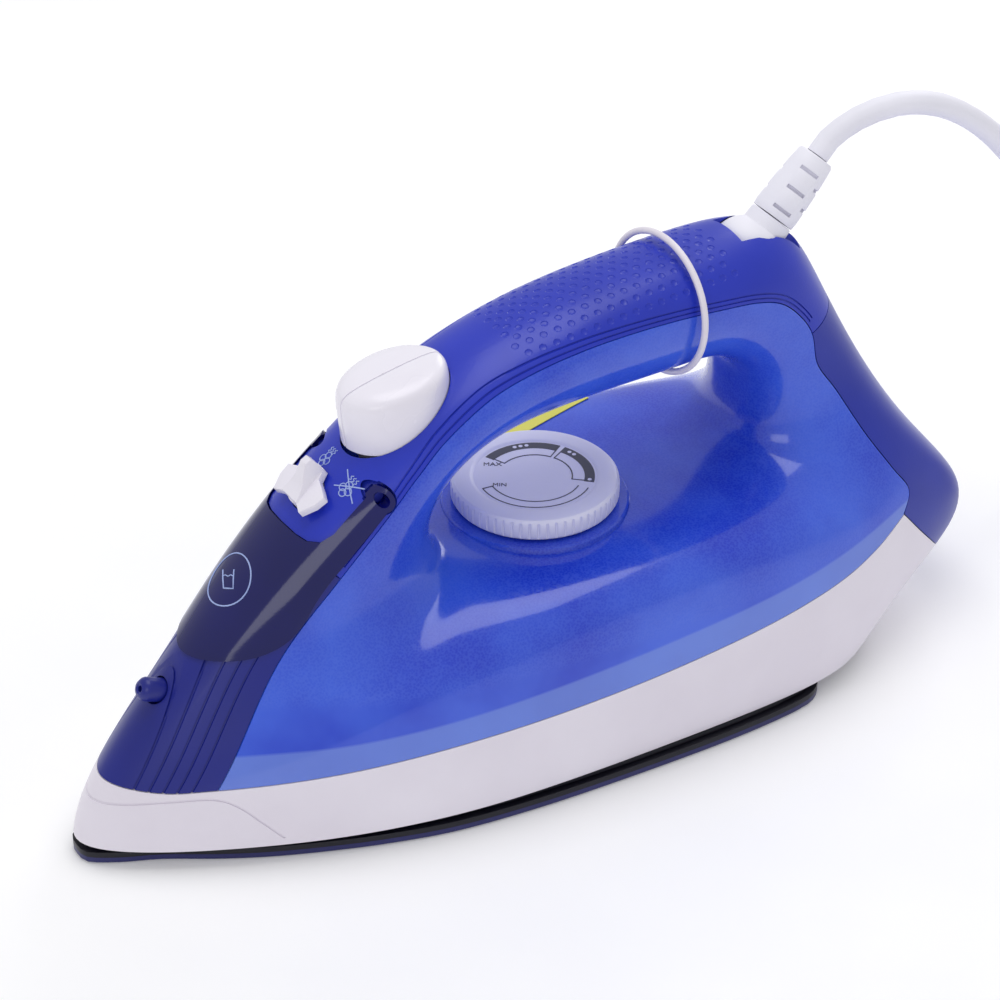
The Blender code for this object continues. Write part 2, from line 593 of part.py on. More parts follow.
def button_block(name, grow, low, high, mat=None, dome=0.0):
    """An oval block on the buttons' axis; a dome rounds its top."""
    steps = [(low, 1.0), (high - dome, 1.0)]
    if dome:
        steps += [(high - dome * 0.45, 0.93), (high - dome * 0.1, 0.72), (high, 0.38)]
    bm = bmesh.new()
    rings = []
    sides = 24
    for z, scale in steps:
        ring = []
        for i in range(sides):
            turn = 2 * math.pi * i / sides
            x = (BUTTON_HALF[0] + grow) * scale * math.cos(turn)
            y = (BUTTON_HALF[1] + grow) * scale * math.sin(turn)
            fall = dome * 0.45 * (x / BUTTON_HALF[0]) if z > low else 0.0
            ring.append(bm.verts.new((x * MM, y * MM, (z + fall) * MM)))
        rings.append(ring)
    for one, two in zip(rings, rings[1:]):
        for i in range(sides):
            bm.faces.new((one[i], one[(i + 1) % sides], two[(i + 1) % sides], two[i]))
    bm.faces.new(rings[0])
    bm.faces.new(rings[-1])
    return add(name, from_bmesh(name, bm), mat, frame_at(BUTTONS, BUTTON_TILT))


def make_buttons():
    for side, word in ((-1, "spray"), (1, "boost")):
        button = button_block(word + "_button", 0.0, -6.0, 11.8, "white_plastic", 5.5)
        near, far = sorted((side * GAP / 2, side * 40))
        combine(button, box("cut_half_" + word, (60, near, 60), (150, far, 160)), "INTERSECT")
        place = frame_at(BUTTONS, BUTTON_TILT) @ Matrix.Translation((PUMP_X * MM, side * PUMP_Y * MM, 0))
        turned(word + "_plunger", [(0, -6.3), (1.8, -6.3), (1.8, -16), (3.2, -16), (3.2, -18), (0, -18)],
               "white_plastic", place, 14)
        turned(word + "_pump", [(3.6, -11.5), (5.2, -11.5), (5.2, -24.5), (0, -24.5), (0, -23), (3.6, -23)],
               "ceramic_white", place, 16)


def make_spray():
    turned("spray_nozzle", [(0.9, 1.6), (2.4, 1.6), (3.3, 0.4), (3.3, -6), (0.9, -6)], "nose_blue",
           along((24.2, 0, 47.6), (20.2, 0, 49.5)), 16)
    tube("spray_tube", [(31, 0, 44.4), (38, 0, 42), (47, -3, 45), (62, -6, 57), (78, -7, 66), (92, -7, 74),
                        (102.2, -7, 84.9)], 1.5, "ceramic_white", 8)


# ---------------------------------------------------------------- cord exit and cord
def ball_room():
    """The socket the ball sits in, with the slot its sleeve swings through."""
    bm = bmesh.new()
    bmesh.ops.create_uvsphere(bm, u_segments=20, v_segments=12, radius=(BALL_R + 0.4) * MM)
    room = add("cut_ball_room", from_bmesh("cut_ball_room", bm), None, Matrix.Translation(at(*BALL)))
    low, high = (math.radians(SLEEVE_ANGLE + swing) for swing in SLEEVE_SWING)
    half = 7.3
    fan = [(half * math.sin(low), -half * math.cos(low)),
           (42 * math.cos(low) + half * math.sin(low), 42 * math.sin(low) - half * math.cos(low)),
           (30, 42), (42 * math.cos(high) - half * math.sin(high), 42 * math.sin(high) + half * math.cos(high)),
           (-half * math.sin(high), half * math.cos(high))]
    ring = [at(BALL[0] + x, -7.3, BALL[2] + z) for x, z in fan]
    slot = add("cut_ball_slot", prism_mesh("cut_ball_slot", ring, Vector((0, 14.6 * MM, 0))))
    combine(room, slot, "UNION")
    combine(room, rod("cut_swivel_bore", (BALL[0], -13, BALL[2]), (BALL[0], 13, BALL[2]), 2.3, sides=12), "UNION")
    return room


def make_cord_exit():
    lean = 90.0 - SLEEVE_ANGLE
    place = frame_at(BALL, lean)
    low = math.radians(-80)
    arc = [(BALL_R * math.cos(a), BALL_R * math.sin(a)) for a in np.linspace(math.radians(52), low, 9)]
    ball = turned("cord_ball", [(0, 12.6), (6.6, 12.6), *arc, (0, -BALL_R)], "sleeve_white", place, 24)
    combine(ball, rod("cut_ball_pin", (BALL[0], -20, BALL[2]), (BALL[0], 20, BALL[2]), 2.3, sides=12))
    rod("swivel_pin", (BALL[0], -12.6, BALL[2]), (BALL[0], 12.6, BALL[2]), 2.0, "sheet_steel", 12)
    rings = []
    z = SLEEVE_END
    while z > 20:
        radius = 5.0 + 1.6 * (SLEEVE_END - z) / 25
        rings += [(radius, z), (radius + 0.1, z - 2.4), (radius - 1.0, z - 2.8), (radius - 1.0, z - 3.8)]
        z -= 4.2
    turned("strain_relief", [(0, SLEEVE_END), *rings, (6.6, z), (6.6, 12.9), (0, 12.9)], "sleeve_white", place, 16)


def out_of_ball(distance):
    way = math.radians(SLEEVE_ANGLE)
    return (BALL[0] + distance * math.cos(way), 0.0, BALL[2] + distance * math.sin(way))


def make_cord():
    floor = CORD_R + 0.1
    run = [out_of_ball(SLEEVE_END + GAP), out_of_ball(SLEEVE_END + 6), (257, -2, 158.6), (269, -4.5, 161),
           (283, -7, 158), (298, -8.5, 148), (312, -9, 133), (325, -6, 115), (335, -1, 94), (342, 5, 70),
           (347, 10, 46), (352, 9, 24), (357, 1, 8), (360.3, -11, floor)]
    tube("cord_run", run, CORD_R, "sleeve_white", 14, 2)
    inner, outer = COIL_R
    low, high = COIL_Z
    turned("cord_coil", [(inner + 3, high), (outer - 3, high), (outer, high - 3), (outer, low + 3), (outer - 3, low),
                         (inner + 3, low), (inner, low + 3), (inner, high - 3)], "sleeve_white",
           frame_at((*COIL, 0)), 32)
    tail = [(401, 12, high + floor), (392.5, 9.5, 28), (386, 4, 33), (382.6, -1, 38), (382, -6, PLUG_Z),
            (382, -12, PLUG_Z)]
    tube("cord_tail", tail, CORD_R, "sleeve_white", 14, 2)
    plug_x, start = tail[-1][0], tail[-1][1] - GAP
    place = along((plug_x, start, PLUG_Z), (plug_x, start - 10, PLUG_Z))
    turned("plug_body", [(0, 44), (17.5, 44), (17.5, 26), (12.5, 17), (6.8, 8), (5.6, 0), (0, 0)],
           "sleeve_white", place, 24)
    for side, word in ((-1, "left"), (1, "right")):
        x = plug_x + side * 9.5
        rod("plug_pin_" + word, (x, start - 44.3, PLUG_Z), (x, start - 63.3, PLUG_Z), 2.4, "sheet_steel", 12)
    make_tie()


def make_tie():
    """A short strap round one side of the coil."""
    x = COIL[0] + (COIL_R[0] + COIL_R[1]) / 2
    low = (x - 8.6, COIL[1] - 4, 0.0)
    strap = box("cord_tie", low, (x + 8.6, COIL[1] + 4, COIL_Z[1] + 1.2), "rim_black")
    inner = (x - 7.7, COIL[1] - 10, 0.9)
    return combine(strap, box("cut_tie", inner, (x + 7.7, COIL[1] + 10, COIL_Z[1] + 0.3)))


# ---------------------------------------------------------------- small trim
def make_label():
    """A thin sticker that follows the far shoulder of the deck."""
    label = form("rating_label", -0.5, "label_yellow")
    combine(label, form("cut_label_back", -0.25))
    combine(label, plate("region_label", [(139, 31), (178, 41.5), (178, 46), (139, 44)], 55, 80), "INTERSECT")


def make_tag_loop():
    """A loose plastic loop round the back of the grip."""
    curve = bpy.data.curves.new("tag_loop", "CURVE")
    curve.dimensions = "3D"
    curve.bevel_depth = 1.0 * MM
    curve.bevel_resolution = 1
    count = 28
    spline = curve.splines.new("POLY")
    spline.use_cyclic_u = True
    spline.points.add(count - 1)
    for i, point in enumerate(spline.points):
        turn = 2 * math.pi * i / count
        rise = 19.6 * math.sin(turn)
        point.co = (*at(191 + rise * 0.1, 22.8 * math.cos(turn), 118 + rise), 1.0)
    curve.materials.append(paint("white_plastic"))
    PARTS.objects.link(bpy.data.objects.new("tag_loop", curve))


def make_screws():
    for side, word in ((-1, "left"), (1, "right")):
        y = side * 9
        rod("rear_screw_" + word, (266.8, y, 58.9), (270.8, y, 61.3), 2.0, "sheet_steel", 10)


def main():
    global PARTS, CUTTERS
    for obj in list(bpy.data.objects):
        bpy.data.objects.remove(obj, do_unlink=True)
    PARTS = collection("steam_iron")
    CUTTERS = collection("cutters")
    thin = form("hollow_thin", WALL)
    thick = form("hollow_thick", THICK_WALL)
    mid = form("hollow_door", LEDGE)
    door, room = door_parts(mid)
    make_skirt(thin)
    make_tank(thin)
    make_nose(thick, room)
    make_grip(thick, room)
    make_rear(thin)
    make_door_pins()
    make_base()
    make_thermostat()
    make_tank_inside()
    make_dial()
    make_lever()
    make_buttons()
    make_spray()
    make_cord_exit()
    make_cord()
    make_label()
    make_tag_loop()
    make_screws()


main()
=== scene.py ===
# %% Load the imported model
import json
import math

import bpy
from mathutils import Matrix, Vector
from mathutils.bvhtree import BVHTree

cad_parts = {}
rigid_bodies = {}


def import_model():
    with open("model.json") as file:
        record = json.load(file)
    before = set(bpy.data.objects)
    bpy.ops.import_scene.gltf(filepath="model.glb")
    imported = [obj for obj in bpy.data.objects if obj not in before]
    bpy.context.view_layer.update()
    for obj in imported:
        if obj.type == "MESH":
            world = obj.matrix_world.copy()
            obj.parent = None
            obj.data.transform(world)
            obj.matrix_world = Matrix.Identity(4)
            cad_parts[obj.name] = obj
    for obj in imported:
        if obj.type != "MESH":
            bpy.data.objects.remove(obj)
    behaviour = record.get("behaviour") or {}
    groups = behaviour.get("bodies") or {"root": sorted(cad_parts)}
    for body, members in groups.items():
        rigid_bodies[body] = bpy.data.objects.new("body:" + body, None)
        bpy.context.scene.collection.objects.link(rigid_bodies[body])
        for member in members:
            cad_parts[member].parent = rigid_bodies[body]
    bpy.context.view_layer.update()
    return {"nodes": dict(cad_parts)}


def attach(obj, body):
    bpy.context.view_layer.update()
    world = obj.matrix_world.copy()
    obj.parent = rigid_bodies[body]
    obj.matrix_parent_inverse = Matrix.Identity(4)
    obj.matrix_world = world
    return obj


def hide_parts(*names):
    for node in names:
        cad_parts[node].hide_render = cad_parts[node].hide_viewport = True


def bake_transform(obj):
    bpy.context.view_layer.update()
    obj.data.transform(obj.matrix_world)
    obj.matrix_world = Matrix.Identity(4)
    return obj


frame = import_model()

# %% [markdown]
# # A compact steam iron
# The engineering model is loaded and stays as it is. This lesson makes the skin that a person sees:
# the smooth casings, the clear tank, the controls, the cord and every finish.
# Tables are in millimetres, with X measured from the nose of the sole towards the heel, Y sideways and
# Z up from the ironing surface. `at` turns such a place into metres in the object's own frame.

# %% Places in millimetres
MM = 0.001
MID_X = 146.45       # half of the iron's length, where the frame's origin lies
GAP = 0.3            # clearance between neighbouring pieces
WALL = 2.4           # of the casings
THICK_WALL = 4.4     # of the nose and the grip, which hold the door, the lever and the buttons
CASING_ANGLE = 28    # degrees; edges sharper than this stay crisp on a casing
TURNED_ANGLE = 40    # the same on small turned pieces
ROUND_ANGLE = 60     # and on the thin tubes
CORNER_ANGLE = 50    # corners sharper than this are rounded


def at(x, y, z):
    return Vector(((x - MID_X) * MM, y * MM, z * MM))


print("the nose tip is at", tuple(round(v, 4) for v in at(0, 0, 0)))

# %% [markdown]
# ## Camera
# A long lens from the iron's front left and above keeps the sole's outline nearly parallel, as in a
# catalogue shot. The camera looks at a point inside the iron, from a fixed distance along its own axis.

# %% Camera
AZIMUTH = math.radians(-32)
ELEVATION = math.radians(34)
AIM = at(138.23, 0, 68.93)
DISTANCE = 0.9
back = Vector((math.sin(AZIMUTH) * math.cos(ELEVATION), -math.cos(AZIMUTH) * math.cos(ELEVATION),
               math.sin(ELEVATION)))
bpy.ops.object.select_all(action="DESELECT")
bpy.ops.object.camera_add(location=AIM + back * DISTANCE,
                          rotation=(math.pi / 2 - ELEVATION, 0, AZIMUTH))
camera = bpy.context.object
camera.name = "catalogue_camera"
camera.data.sensor_width = 36
camera.data.lens = 113.95
camera.data.clip_start = 0.01
bpy.context.scene.camera = camera
print("camera at", tuple(round(v, 3) for v in camera.location))

# %% [markdown]
# ## Working with operators
# Every new piece starts as a primitive and is shaped in edit mode. Operators act on all that is selected,
# so `pick` first leaves just one object selected. `flat_loop` takes the ring of a circle primitive and
# gives its points their places. `block` pushes such a loop into a solid, `lathe` spins it round Z.

# %% Helpers for operators
OUTWARD = (bpy.ops.mesh.normals_make_consistent, {"inside": False})
MERGE = (bpy.ops.mesh.remove_doubles, {"threshold": 0.000002})
EVERYTHING = (bpy.ops.mesh.select_all, {"action": "SELECT"})
LOOSE = (bpy.ops.mesh.delete_loose, {})


def pick(obj):
    """Leave only this object selected and active."""
    bpy.ops.object.select_all(action="DESELECT")
    obj.select_set(True)
    bpy.context.view_layer.objects.active = obj
    return obj


def edit(obj, *steps):
    """Run edit-mode operators, given as (operator, its values), on the whole mesh."""
    pick(obj)
    bpy.ops.object.mode_set(mode="EDIT")
    bpy.ops.mesh.select_all(action="SELECT")
    for operator, values in steps:
        operator(**values)
    bpy.ops.object.mode_set(mode="OBJECT")
    return obj


def named(name):
    obj = bpy.context.object
    obj.name = name
    obj.data.name = name
    return obj


def flat_loop(name, points, filled=True):
    """A circle primitive whose points are moved to these places."""
    bpy.ops.object.select_all(action="DESELECT")
    fill = "NGON" if filled else "NOTHING"
    bpy.ops.mesh.primitive_circle_add(vertices=len(points), radius=MM, fill_type=fill)
    obj = named(name)
    for vert, place in zip(obj.data.vertices, points):
        vert.co = place
    return obj


def block(name, points, way):
    """A closed solid: the filled loop pushed along way."""
    obj = flat_loop(name, points)
    push = (bpy.ops.mesh.extrude_region_move, {"TRANSFORM_OT_translate": {"value": tuple(way)}})
    return edit(obj, push, EVERYTHING, OUTWARD)


def lathe(name, profile, place, steps=64):
    """A closed profile of (radius, height), in millimetres, spun once round the Z axis of place."""
    obj = flat_loop(name, [Vector((r * MM, 0, z * MM)) for r, z in profile], filled=False)
    turn = {"steps": steps, "angle": 2 * math.pi, "center": (0, 0, 0), "axis": (0, 0, 1)}
    edit(obj, (bpy.ops.mesh.spin, turn), EVERYTHING, MERGE, LOOSE, EVERYTHING, OUTWARD)
    obj.data.transform(place)
    return obj


def rod(name, radius, low, high, place, steps):
    """A plain round cylinder, lathed on the Z axis of place."""
    return lathe(name, [(0, low), (radius, low), (radius, high), (0, high)], place, steps)


def apply_all(obj):
    """Apply the modifiers, first to last."""
    pick(obj)
    for step in list(obj.modifiers):
        bpy.ops.object.modifier_apply(modifier=step.name)
    return obj


def cut(obj, tool, how="DIFFERENCE", keep=False):
    """Cut, join or crop a piece with a tool, and put the tool away."""
    step = obj.modifiers.new("Cut", "BOOLEAN")
    step.operation = how
    step.solver = "EXACT"
    step.object = tool
    apply_all(obj)
    if not keep:
        bpy.data.objects.remove(tool)
    return obj


def soften(obj, width, segments=3, angle=CORNER_ANGLE):
    """Round every edge sharper than angle."""
    step = obj.modifiers.new("Soft edge", "BEVEL")
    step.width = width * MM
    step.segments = segments
    step.limit_method = "ANGLE"
    step.angle_limit = math.radians(angle)
    step.harden_normals = False
    return apply_all(obj)


def smooth(obj, angle=CASING_ANGLE):
    """Shade smooth, but keep every edge sharper than angle."""
    pick(obj)
    bpy.ops.object.shade_smooth_by_angle(angle=math.radians(angle))
    return obj


def leaning(place, tilt=0.0):
    """A frame at a place, whose Z leans by tilt degrees; minus is towards the nose."""
    return Matrix.Translation(at(*place)) @ Matrix.Rotation(math.radians(tilt), 4, "Y")


def between(start, end):
    """A frame whose Z runs from one place to another."""
    way = at(*end) - at(*start)
    return Matrix.Translation(at(*start)) @ way.to_track_quat("Z", "Y").to_matrix().to_4x4()


def joined(name, pieces):
    """Several pieces made into one object."""
    pick(pieces[0])
    for piece in pieces:
        piece.select_set(True)
    bpy.ops.object.join()
    return named(name)


print("helpers ready")

# %% [markdown]
# ## The outer form
# All the casings are cut from one soft ring, which runs round the hand opening: nose, grip, back and
# deck. A cage is the usual way to shape such a form. Each row of the table is one spoke of
# the cage, from the opening's edge over the side to the outer edge. A grid primitive takes these places,
# Mirror makes the other half and Subdivision Surface smooths it. The same cage moved inward gives the
# inside of a wall, or the floor of a groove.

# %% The cage
BELOW = -16.0
CAGE = [
    [(118, 0, 66.5), (115, 17, 66), (104, 33.5, 61), (86, 43.5, 49.5), (55, 36.5, 21), (8, 16, BELOW),
     (-7, 0, BELOW)],
    [(115.5, 0, 67), (112, 15, 66), (98, 30, 59.5), (76, 39.5, 47), (42, 29.5, 25), (8, 13.5, 12),
     (-5, 0, 10)],
    [(114, 0, 69), (110, 14, 68), (96, 27, 61.5), (72, 32, 50), (42, 24, 37), (17, 11.5, 28), (6.5, 0, 25)],
    [(113, 0, 72), (110, 12, 71), (98, 21, 70), (77, 24, 63), (55, 21, 55), (33, 11.5, 47), (24, 0, 44.5)],
    [(112, 0, 77.5), (109, 12.5, 77), (97, 20.5, 74.5), (82, 22.5, 72), (63, 19.5, 70.5), (50, 11, 69),
     (46.5, 0, 68.3)],
    [(112.5, 0, 84), (109.5, 13, 84), (100, 20.5, 84.5), (89, 22, 86), (78.5, 19, 87.5), (70.5, 11, 88),
     (68, 0, 88)],
    [(116, 0, 91.5), (113.5, 13, 91.5), (107, 20, 94), (101, 21.5, 97), (95, 19, 100.5), (91, 11, 103.5),
     (90, 0, 104)],
    [(123, 0, 97.5), (121, 12.5, 98), (117, 19.5, 101.5), (113, 21, 106), (110, 18.5, 111.3),
     (108.5, 11, 114.5),
     (108, 0, 115.2)],
    [(134, 0, 99.6), (133, 12, 100.4), (131, 19, 106.5), (129.5, 20.5, 113.5), (127.5, 18, 119.5),
     (126.5, 10, 123), (126, 0, 124)],
    [(148, 0, 100.6), (147.5, 12, 101.4), (147, 19, 109), (147, 20.5, 118), (147, 17.5, 125),
     (147, 9.5, 129),
     (147, 0, 130)],
    [(162, 0, 100.8), (162, 12, 101.6), (162, 19, 109.6), (163.5, 20.5, 119.5), (165, 17.5, 127.3),
     (166.5, 9.5, 131.8), (168, 0, 133.2)],
    [(176, 0, 100.5), (176, 12, 101.3), (177, 19, 109.8), (180, 20.5, 120), (183, 17.5, 128.5),
     (187, 9.5, 133.2),
     (190, 0, 134.6)],
    [(190, 0, 100), (190, 12, 101.2), (191.5, 19, 110), (196, 20.5, 120), (201, 17.5, 128.6),
     (207, 9.5, 134.4), (211, 0, 135.9)],
    [(200, 0, 100), (200.5, 12, 101.5), (203, 19, 110), (210, 20.5, 119), (220, 17.5, 128),
     (230, 9.5, 133.4),
     (236, 0, 135)],
    [(208, 0, 97.5), (209, 12.5, 99), (213, 19, 106), (221, 20.5, 111.5), (231.5, 18.5, 114),
     (241, 12, 114.5),
     (245, 0, 113)],
    [(213, 0, 93.5), (214.5, 13, 94.5), (220, 19.5, 99), (231, 21.5, 100.5), (243, 20.5, 96),
     (253.5, 15, 88.5),
     (257.5, 0, 87)],
    [(216, 0, 87), (217.5, 13.5, 87.5), (225, 20.5, 91), (239, 23.5, 88.5), (256, 24.5, 75),
     (271.5, 20.5, 59),
     (276.5, 0, 56.5)],
    [(216, 0, 80), (218, 14, 80), (228, 22.5, 82), (246, 28.5, 76), (269, 32, 57), (296, 29.5, 34),
     (300, 0, 28)],
    [(214, 0, 72), (217, 15, 72), (228, 26, 72.5), (248, 34.5, 64), (271, 37.5, 42), (286, 31.5, 18),
     (289, 0, 14)],
    [(209, 0, 68.5), (213, 17, 67.8), (224, 32, 65.8), (240, 41.5, 58), (252, 45.5, 34), (252, 43.5, 10),
     (254, 0, 7)],
    [(199, 0, 66.5), (203, 20, 66), (212, 40, 64.2), (223, 47.8, 56.5), (229, 52, 30), (226, 52.5, BELOW),
     (226, 0, BELOW)],
    [(184, 0, 65.6), (187, 23, 65.4), (191, 46.3, 64), (196, 51.6, 55), (200, 54.5, 31), (205, 54.8, BELOW),
     (205, 0, BELOW)],
    [(168, 0, 65.3), (169, 23, 65.1), (169, 47.3, 63.7), (168, 51.8, 54.5), (167, 53.5, 30),
     (165, 54.6, BELOW),
     (165, 0, BELOW)],
    [(152, 0, 65.3), (152, 23, 65.1), (149, 46.3, 63.4), (144, 50.8, 53.5), (136, 52.5, 28),
     (122, 52.6, BELOW),
     (125, 0, BELOW)],
    [(136, 0, 65.4), (135, 21, 65), (129, 42.5, 62.8), (119, 48.7, 52.3), (106, 49.8, 26), (87, 49, BELOW),
     (85, 0, BELOW)],
    [(124, 0, 65.9), (122, 19, 65.2), (114, 37.5, 61.8), (100, 46.3, 51), (78, 44.5, 23), (44, 35, BELOW),
     (40, 0, BELOW)],
]
SMOOTHING = 3
forms = {}


def form(depth):
    """The outer form moved inward by depth, kept for use as a tool."""
    if depth not in forms:
        across = len(CAGE[0])
        bpy.ops.object.select_all(action="DESELECT")
        bpy.ops.mesh.primitive_grid_add(x_subdivisions=across - 1, y_subdivisions=len(CAGE), size=0.1)
        obj = named(f"tool_form_{len(forms)}")
        for i, spoke in enumerate(CAGE + CAGE[:1]):
            for j, place in enumerate(spoke):
                obj.data.vertices[i * across + j].co = at(place[0], -place[1], place[2])
        mirror = obj.modifiers.new("Other half", "MIRROR")
        mirror.use_axis = (False, True, False)
        mirror.merge_threshold = 0.00005
        apply_all(obj)
        edit(obj, MERGE, OUTWARD)
        for vert, way in [(v, v.normal.copy()) for v in obj.data.vertices]:
            vert.co -= way * depth * MM
        subdivide = obj.modifiers.new("Smooth", "SUBSURF")
        subdivide.levels = SMOOTHING
        subdivide.render_levels = SMOOTHING
        apply_all(obj)
        forms[depth] = obj
    return forms[depth]


def fresh(name, depth):
    """A copy of the form to cut a piece from."""
    obj = form(depth).copy()
    obj.data = obj.data.copy()
    obj.name = name
    obj.data.name = name
    bpy.context.scene.collection.objects.link(obj)
    return obj


print("the form has", len(form(0.0).data.polygons), "faces")

# %% [markdown]
# ## Seams
# The casings meet along lines that are drawn in the side view. A few points give each line, and a smooth
# curve through them gives the seam. Both casings at a seam use the same curve, each moved back by half of
# the gap, so the joint is even all along.

# %% Seam lines
SKIRT_SEAM = [(-20, 26.5), (2, 24.5), (20, 23.2), (33, 24.2), (63, 26.7), (97, 29.3), (160, 32.3),
              (216, 37.5),
              (238, 41), (254, 45.5)]
HEEL_SEAM = [(254, 45.5), (262, 36), (272, 25), (282, 14), (300, -4)]
# round the tank's edge: up the nose, under the grip, down the back
TANK_SEAM = [(33, 24.2), (55.5, 57), (75, 77.3), (93, 94.5), (100, 101), (110, 109), (124, 116.5),
             (138, 120.6),
             (153, 122.8), (168, 123.5), (184, 123.2), (200, 122), (211.7, 120.5), (220.2, 117.5),
             (226.7, 111.8),
             (231, 104.9), (232.5, 95), (238.5, 85), (246, 70.5), (253, 59), (258, 51), (254, 45.5)]
NOSE_TOP = 2                     # the tank seam's point where the nose meets the grip
CROWN = 15                       # and the one where the grip meets the rear cover
CROWN_END = Vector((262, 114))
PANEL_FRONT = Vector((57, 97))
PAST = 70                        # this far to each side, a tool is past the iron
DOOR_LOW = [(17, 60), (29, 55.6), (40, 56.8), (50, 58.6), (58, 62), (63.5, 66.8), (67, 71.5), (71.5, 76.5),
            (78, 82.6), (84, 88)]


def smooth_line(points, first=0, last=None, step=1.5):
    """Points on a smooth curve through these ones, from the first to the last wanted; flat or in space."""
    pts = [Vector(p) for p in points]
    ends = [pts[0] * 2 - pts[1]] + pts + [pts[-1] * 2 - pts[-2]]
    last = len(pts) - 1 if last is None else last
    out = [pts[first]]
    for k in range(first, last):
        a, b, c, d = ends[k:k + 4]
        pieces = max(1, round((c - b).length / step))
        for i in range(1, pieces + 1):
            t = i / pieces
            out.append(0.5 * ((2 * b) + (c - a) * t + (2 * a - 5 * b + 4 * c - d) * t * t
                              + (3 * b - a - 3 * c + d) * t ** 3))
    return out


def moved_in(points, gap):
    """A closed outline moved inward by gap."""
    area = sum(a.x * b.y - b.x * a.y for a, b in zip(points, points[1:] + points[:1]))
    side = 1 if area > 0 else -1
    moved = []
    for before, here, after in zip(points[-1:] + points[:-1], points, points[1:] + points[:1]):
        one = (here - before).normalized()
        two = (after - here).normalized()
        normal = Vector((-one.y - two.y, one.x + two.x)).normalized() * side
        moved.append(here + normal * gap / max(0.35, normal.dot(Vector((-one.y, one.x)) * side)))
    return moved


def side_block(name, outline, gap=GAP / 2):
    """A tool with this outline in the side view, right through the iron."""
    ring = [at(p.x, -PAST, p.y) for p in moved_in(outline, gap)]
    return block(name, ring, Vector((0, 2 * PAST * MM, 0)))


def shell(name, outline, wall=WALL):
    """A casing: the part of the form inside an outline, with walls of this thickness."""
    obj = cut(fresh(name, 0.0), side_block("tool_region", outline), "INTERSECT")
    return cut(obj, form(wall), keep=True)


print("the tank seam has", len(smooth_line(TANK_SEAM)), "points")

# %% [markdown]
# ## Finishes
# Moulded plastic is never quite even: a faint cloud in the colour, a fine grain that breaks the gloss and
# handling marks that change the roughness. One node group gives these three as a colour, a roughness and
# a normal, from Object coordinates so that nothing slides. The shader itself stays in each material.

# %% Moulded surface group
def linear(*rgb):
    """A colour given as 0 to 255 per channel, as the shader wants it."""
    return tuple((c / 255 / 12.92 if c <= 10 else ((c / 255 + 0.055) / 1.055) ** 2.4) for c in rgb) + (1.0,)


def add(tree, kind, **values):
    """A new node of this kind, with the values of its input sockets."""
    node = tree.nodes.new("ShaderNode" + kind)
    for socket, value in values.items():
        node.inputs[socket.replace("_", " ")].default_value = value
    return node


def sum_node(tree, operation):
    """A node for arithmetic."""
    node = add(tree, "Math")
    node.operation = operation
    return node


def colour_mix(tree, **values):
    """A node that mixes two colours."""
    node = tree.nodes.new("ShaderNodeMix")
    node.data_type = "RGBA"
    for socket, value in values.items():
        node.inputs[socket].default_value = value
    return node


def wire(tree, *links):
    """Links, each given as (node, its output, node, its input)."""
    for giver, output, taker, socket in links:
        tree.links.new(giver.outputs[output], taker.inputs[socket])


def surface_group():
    tree = bpy.data.node_groups.new("moulded_surface", "ShaderNodeTree")
    inputs = {"Place": "Vector", "Colour": "Color", "Cloud colour": "Color", "Grain scale": "Float",
              "Grain depth": "Float", "Roughness": "Float", "Marks": "Float"}
    for name, kind in inputs.items():
        tree.interface.new_socket(name, in_out="INPUT", socket_type="NodeSocket" + kind)
    for name, kind in {"Colour": "Color", "Roughness": "Float", "Normal": "Vector"}.items():
        tree.interface.new_socket(name, in_out="OUTPUT", socket_type="NodeSocket" + kind)
    given = tree.nodes.new("NodeGroupInput")
    out = tree.nodes.new("NodeGroupOutput")
    cloud = add(tree, "TexNoise", Scale=22, Detail=4)
    spread = add(tree, "MapRange", From_Min=0.35, From_Max=0.65)
    blend = colour_mix(tree)
    grain = add(tree, "TexNoise", Detail=2)
    bump = add(tree, "Bump", Distance=0.00006)
    marks = sum_node(tree, "MULTIPLY_ADD")
    wire(tree, (given, "Place", cloud, "Vector"), (given, "Place", grain, "Vector"),
         (given, "Grain scale", grain, "Scale"), (cloud, "Fac", spread, "Value"),
         (spread, "Result", blend, "Factor"), (given, "Colour", blend, "A"),
         (given, "Cloud colour", blend, "B"), (grain, "Fac", bump, "Height"),
         (given, "Grain depth", bump, "Strength"), (spread, "Result", marks, 0),
         (given, "Marks", marks, 1), (given, "Roughness", marks, 2),
         (blend, "Result", out, "Colour"), (marks, "Value", out, "Roughness"),
         (bump, "Normal", out, "Normal"))
    return tree


surface = surface_group()


def finish(name, rgb, cloud, grain=1400, depth=0.3, rough=0.3, marks=0.08, **shader):
    """A material: the moulded surface group feeding a Principled shader."""
    mat = bpy.data.materials.new(name)
    mat.use_nodes = True
    tree = mat.node_tree
    face = tree.nodes["Principled BSDF"]
    place = add(tree, "TexCoord")
    skin = tree.nodes.new("ShaderNodeGroup")
    skin.node_tree = surface
    values = {"Colour": linear(*rgb), "Cloud colour": linear(*cloud), "Grain scale": grain,
              "Grain depth": depth, "Roughness": rough, "Marks": marks}
    for socket, value in values.items():
        skin.inputs[socket].default_value = value
    wire(tree, (place, "Object", skin, "Place"), (skin, "Colour", face, "Base Color"),
         (skin, "Roughness", face, "Roughness"), (skin, "Normal", face, "Normal"))
    for socket, value in shader.items():
        face.inputs[socket.replace("_", " ")].default_value = value
    return mat


def basis(mat):
    """A finish's nodes: the tree, its coordinates, its surface group and its shader."""
    tree = mat.node_tree
    place = next(n for n in tree.nodes if n.bl_idname == "ShaderNodeTexCoord")
    skin = next(n for n in tree.nodes if n.bl_idname == "ShaderNodeGroup")
    return tree, place, skin, tree.nodes["Principled BSDF"]


print("group ready:", surface.name)

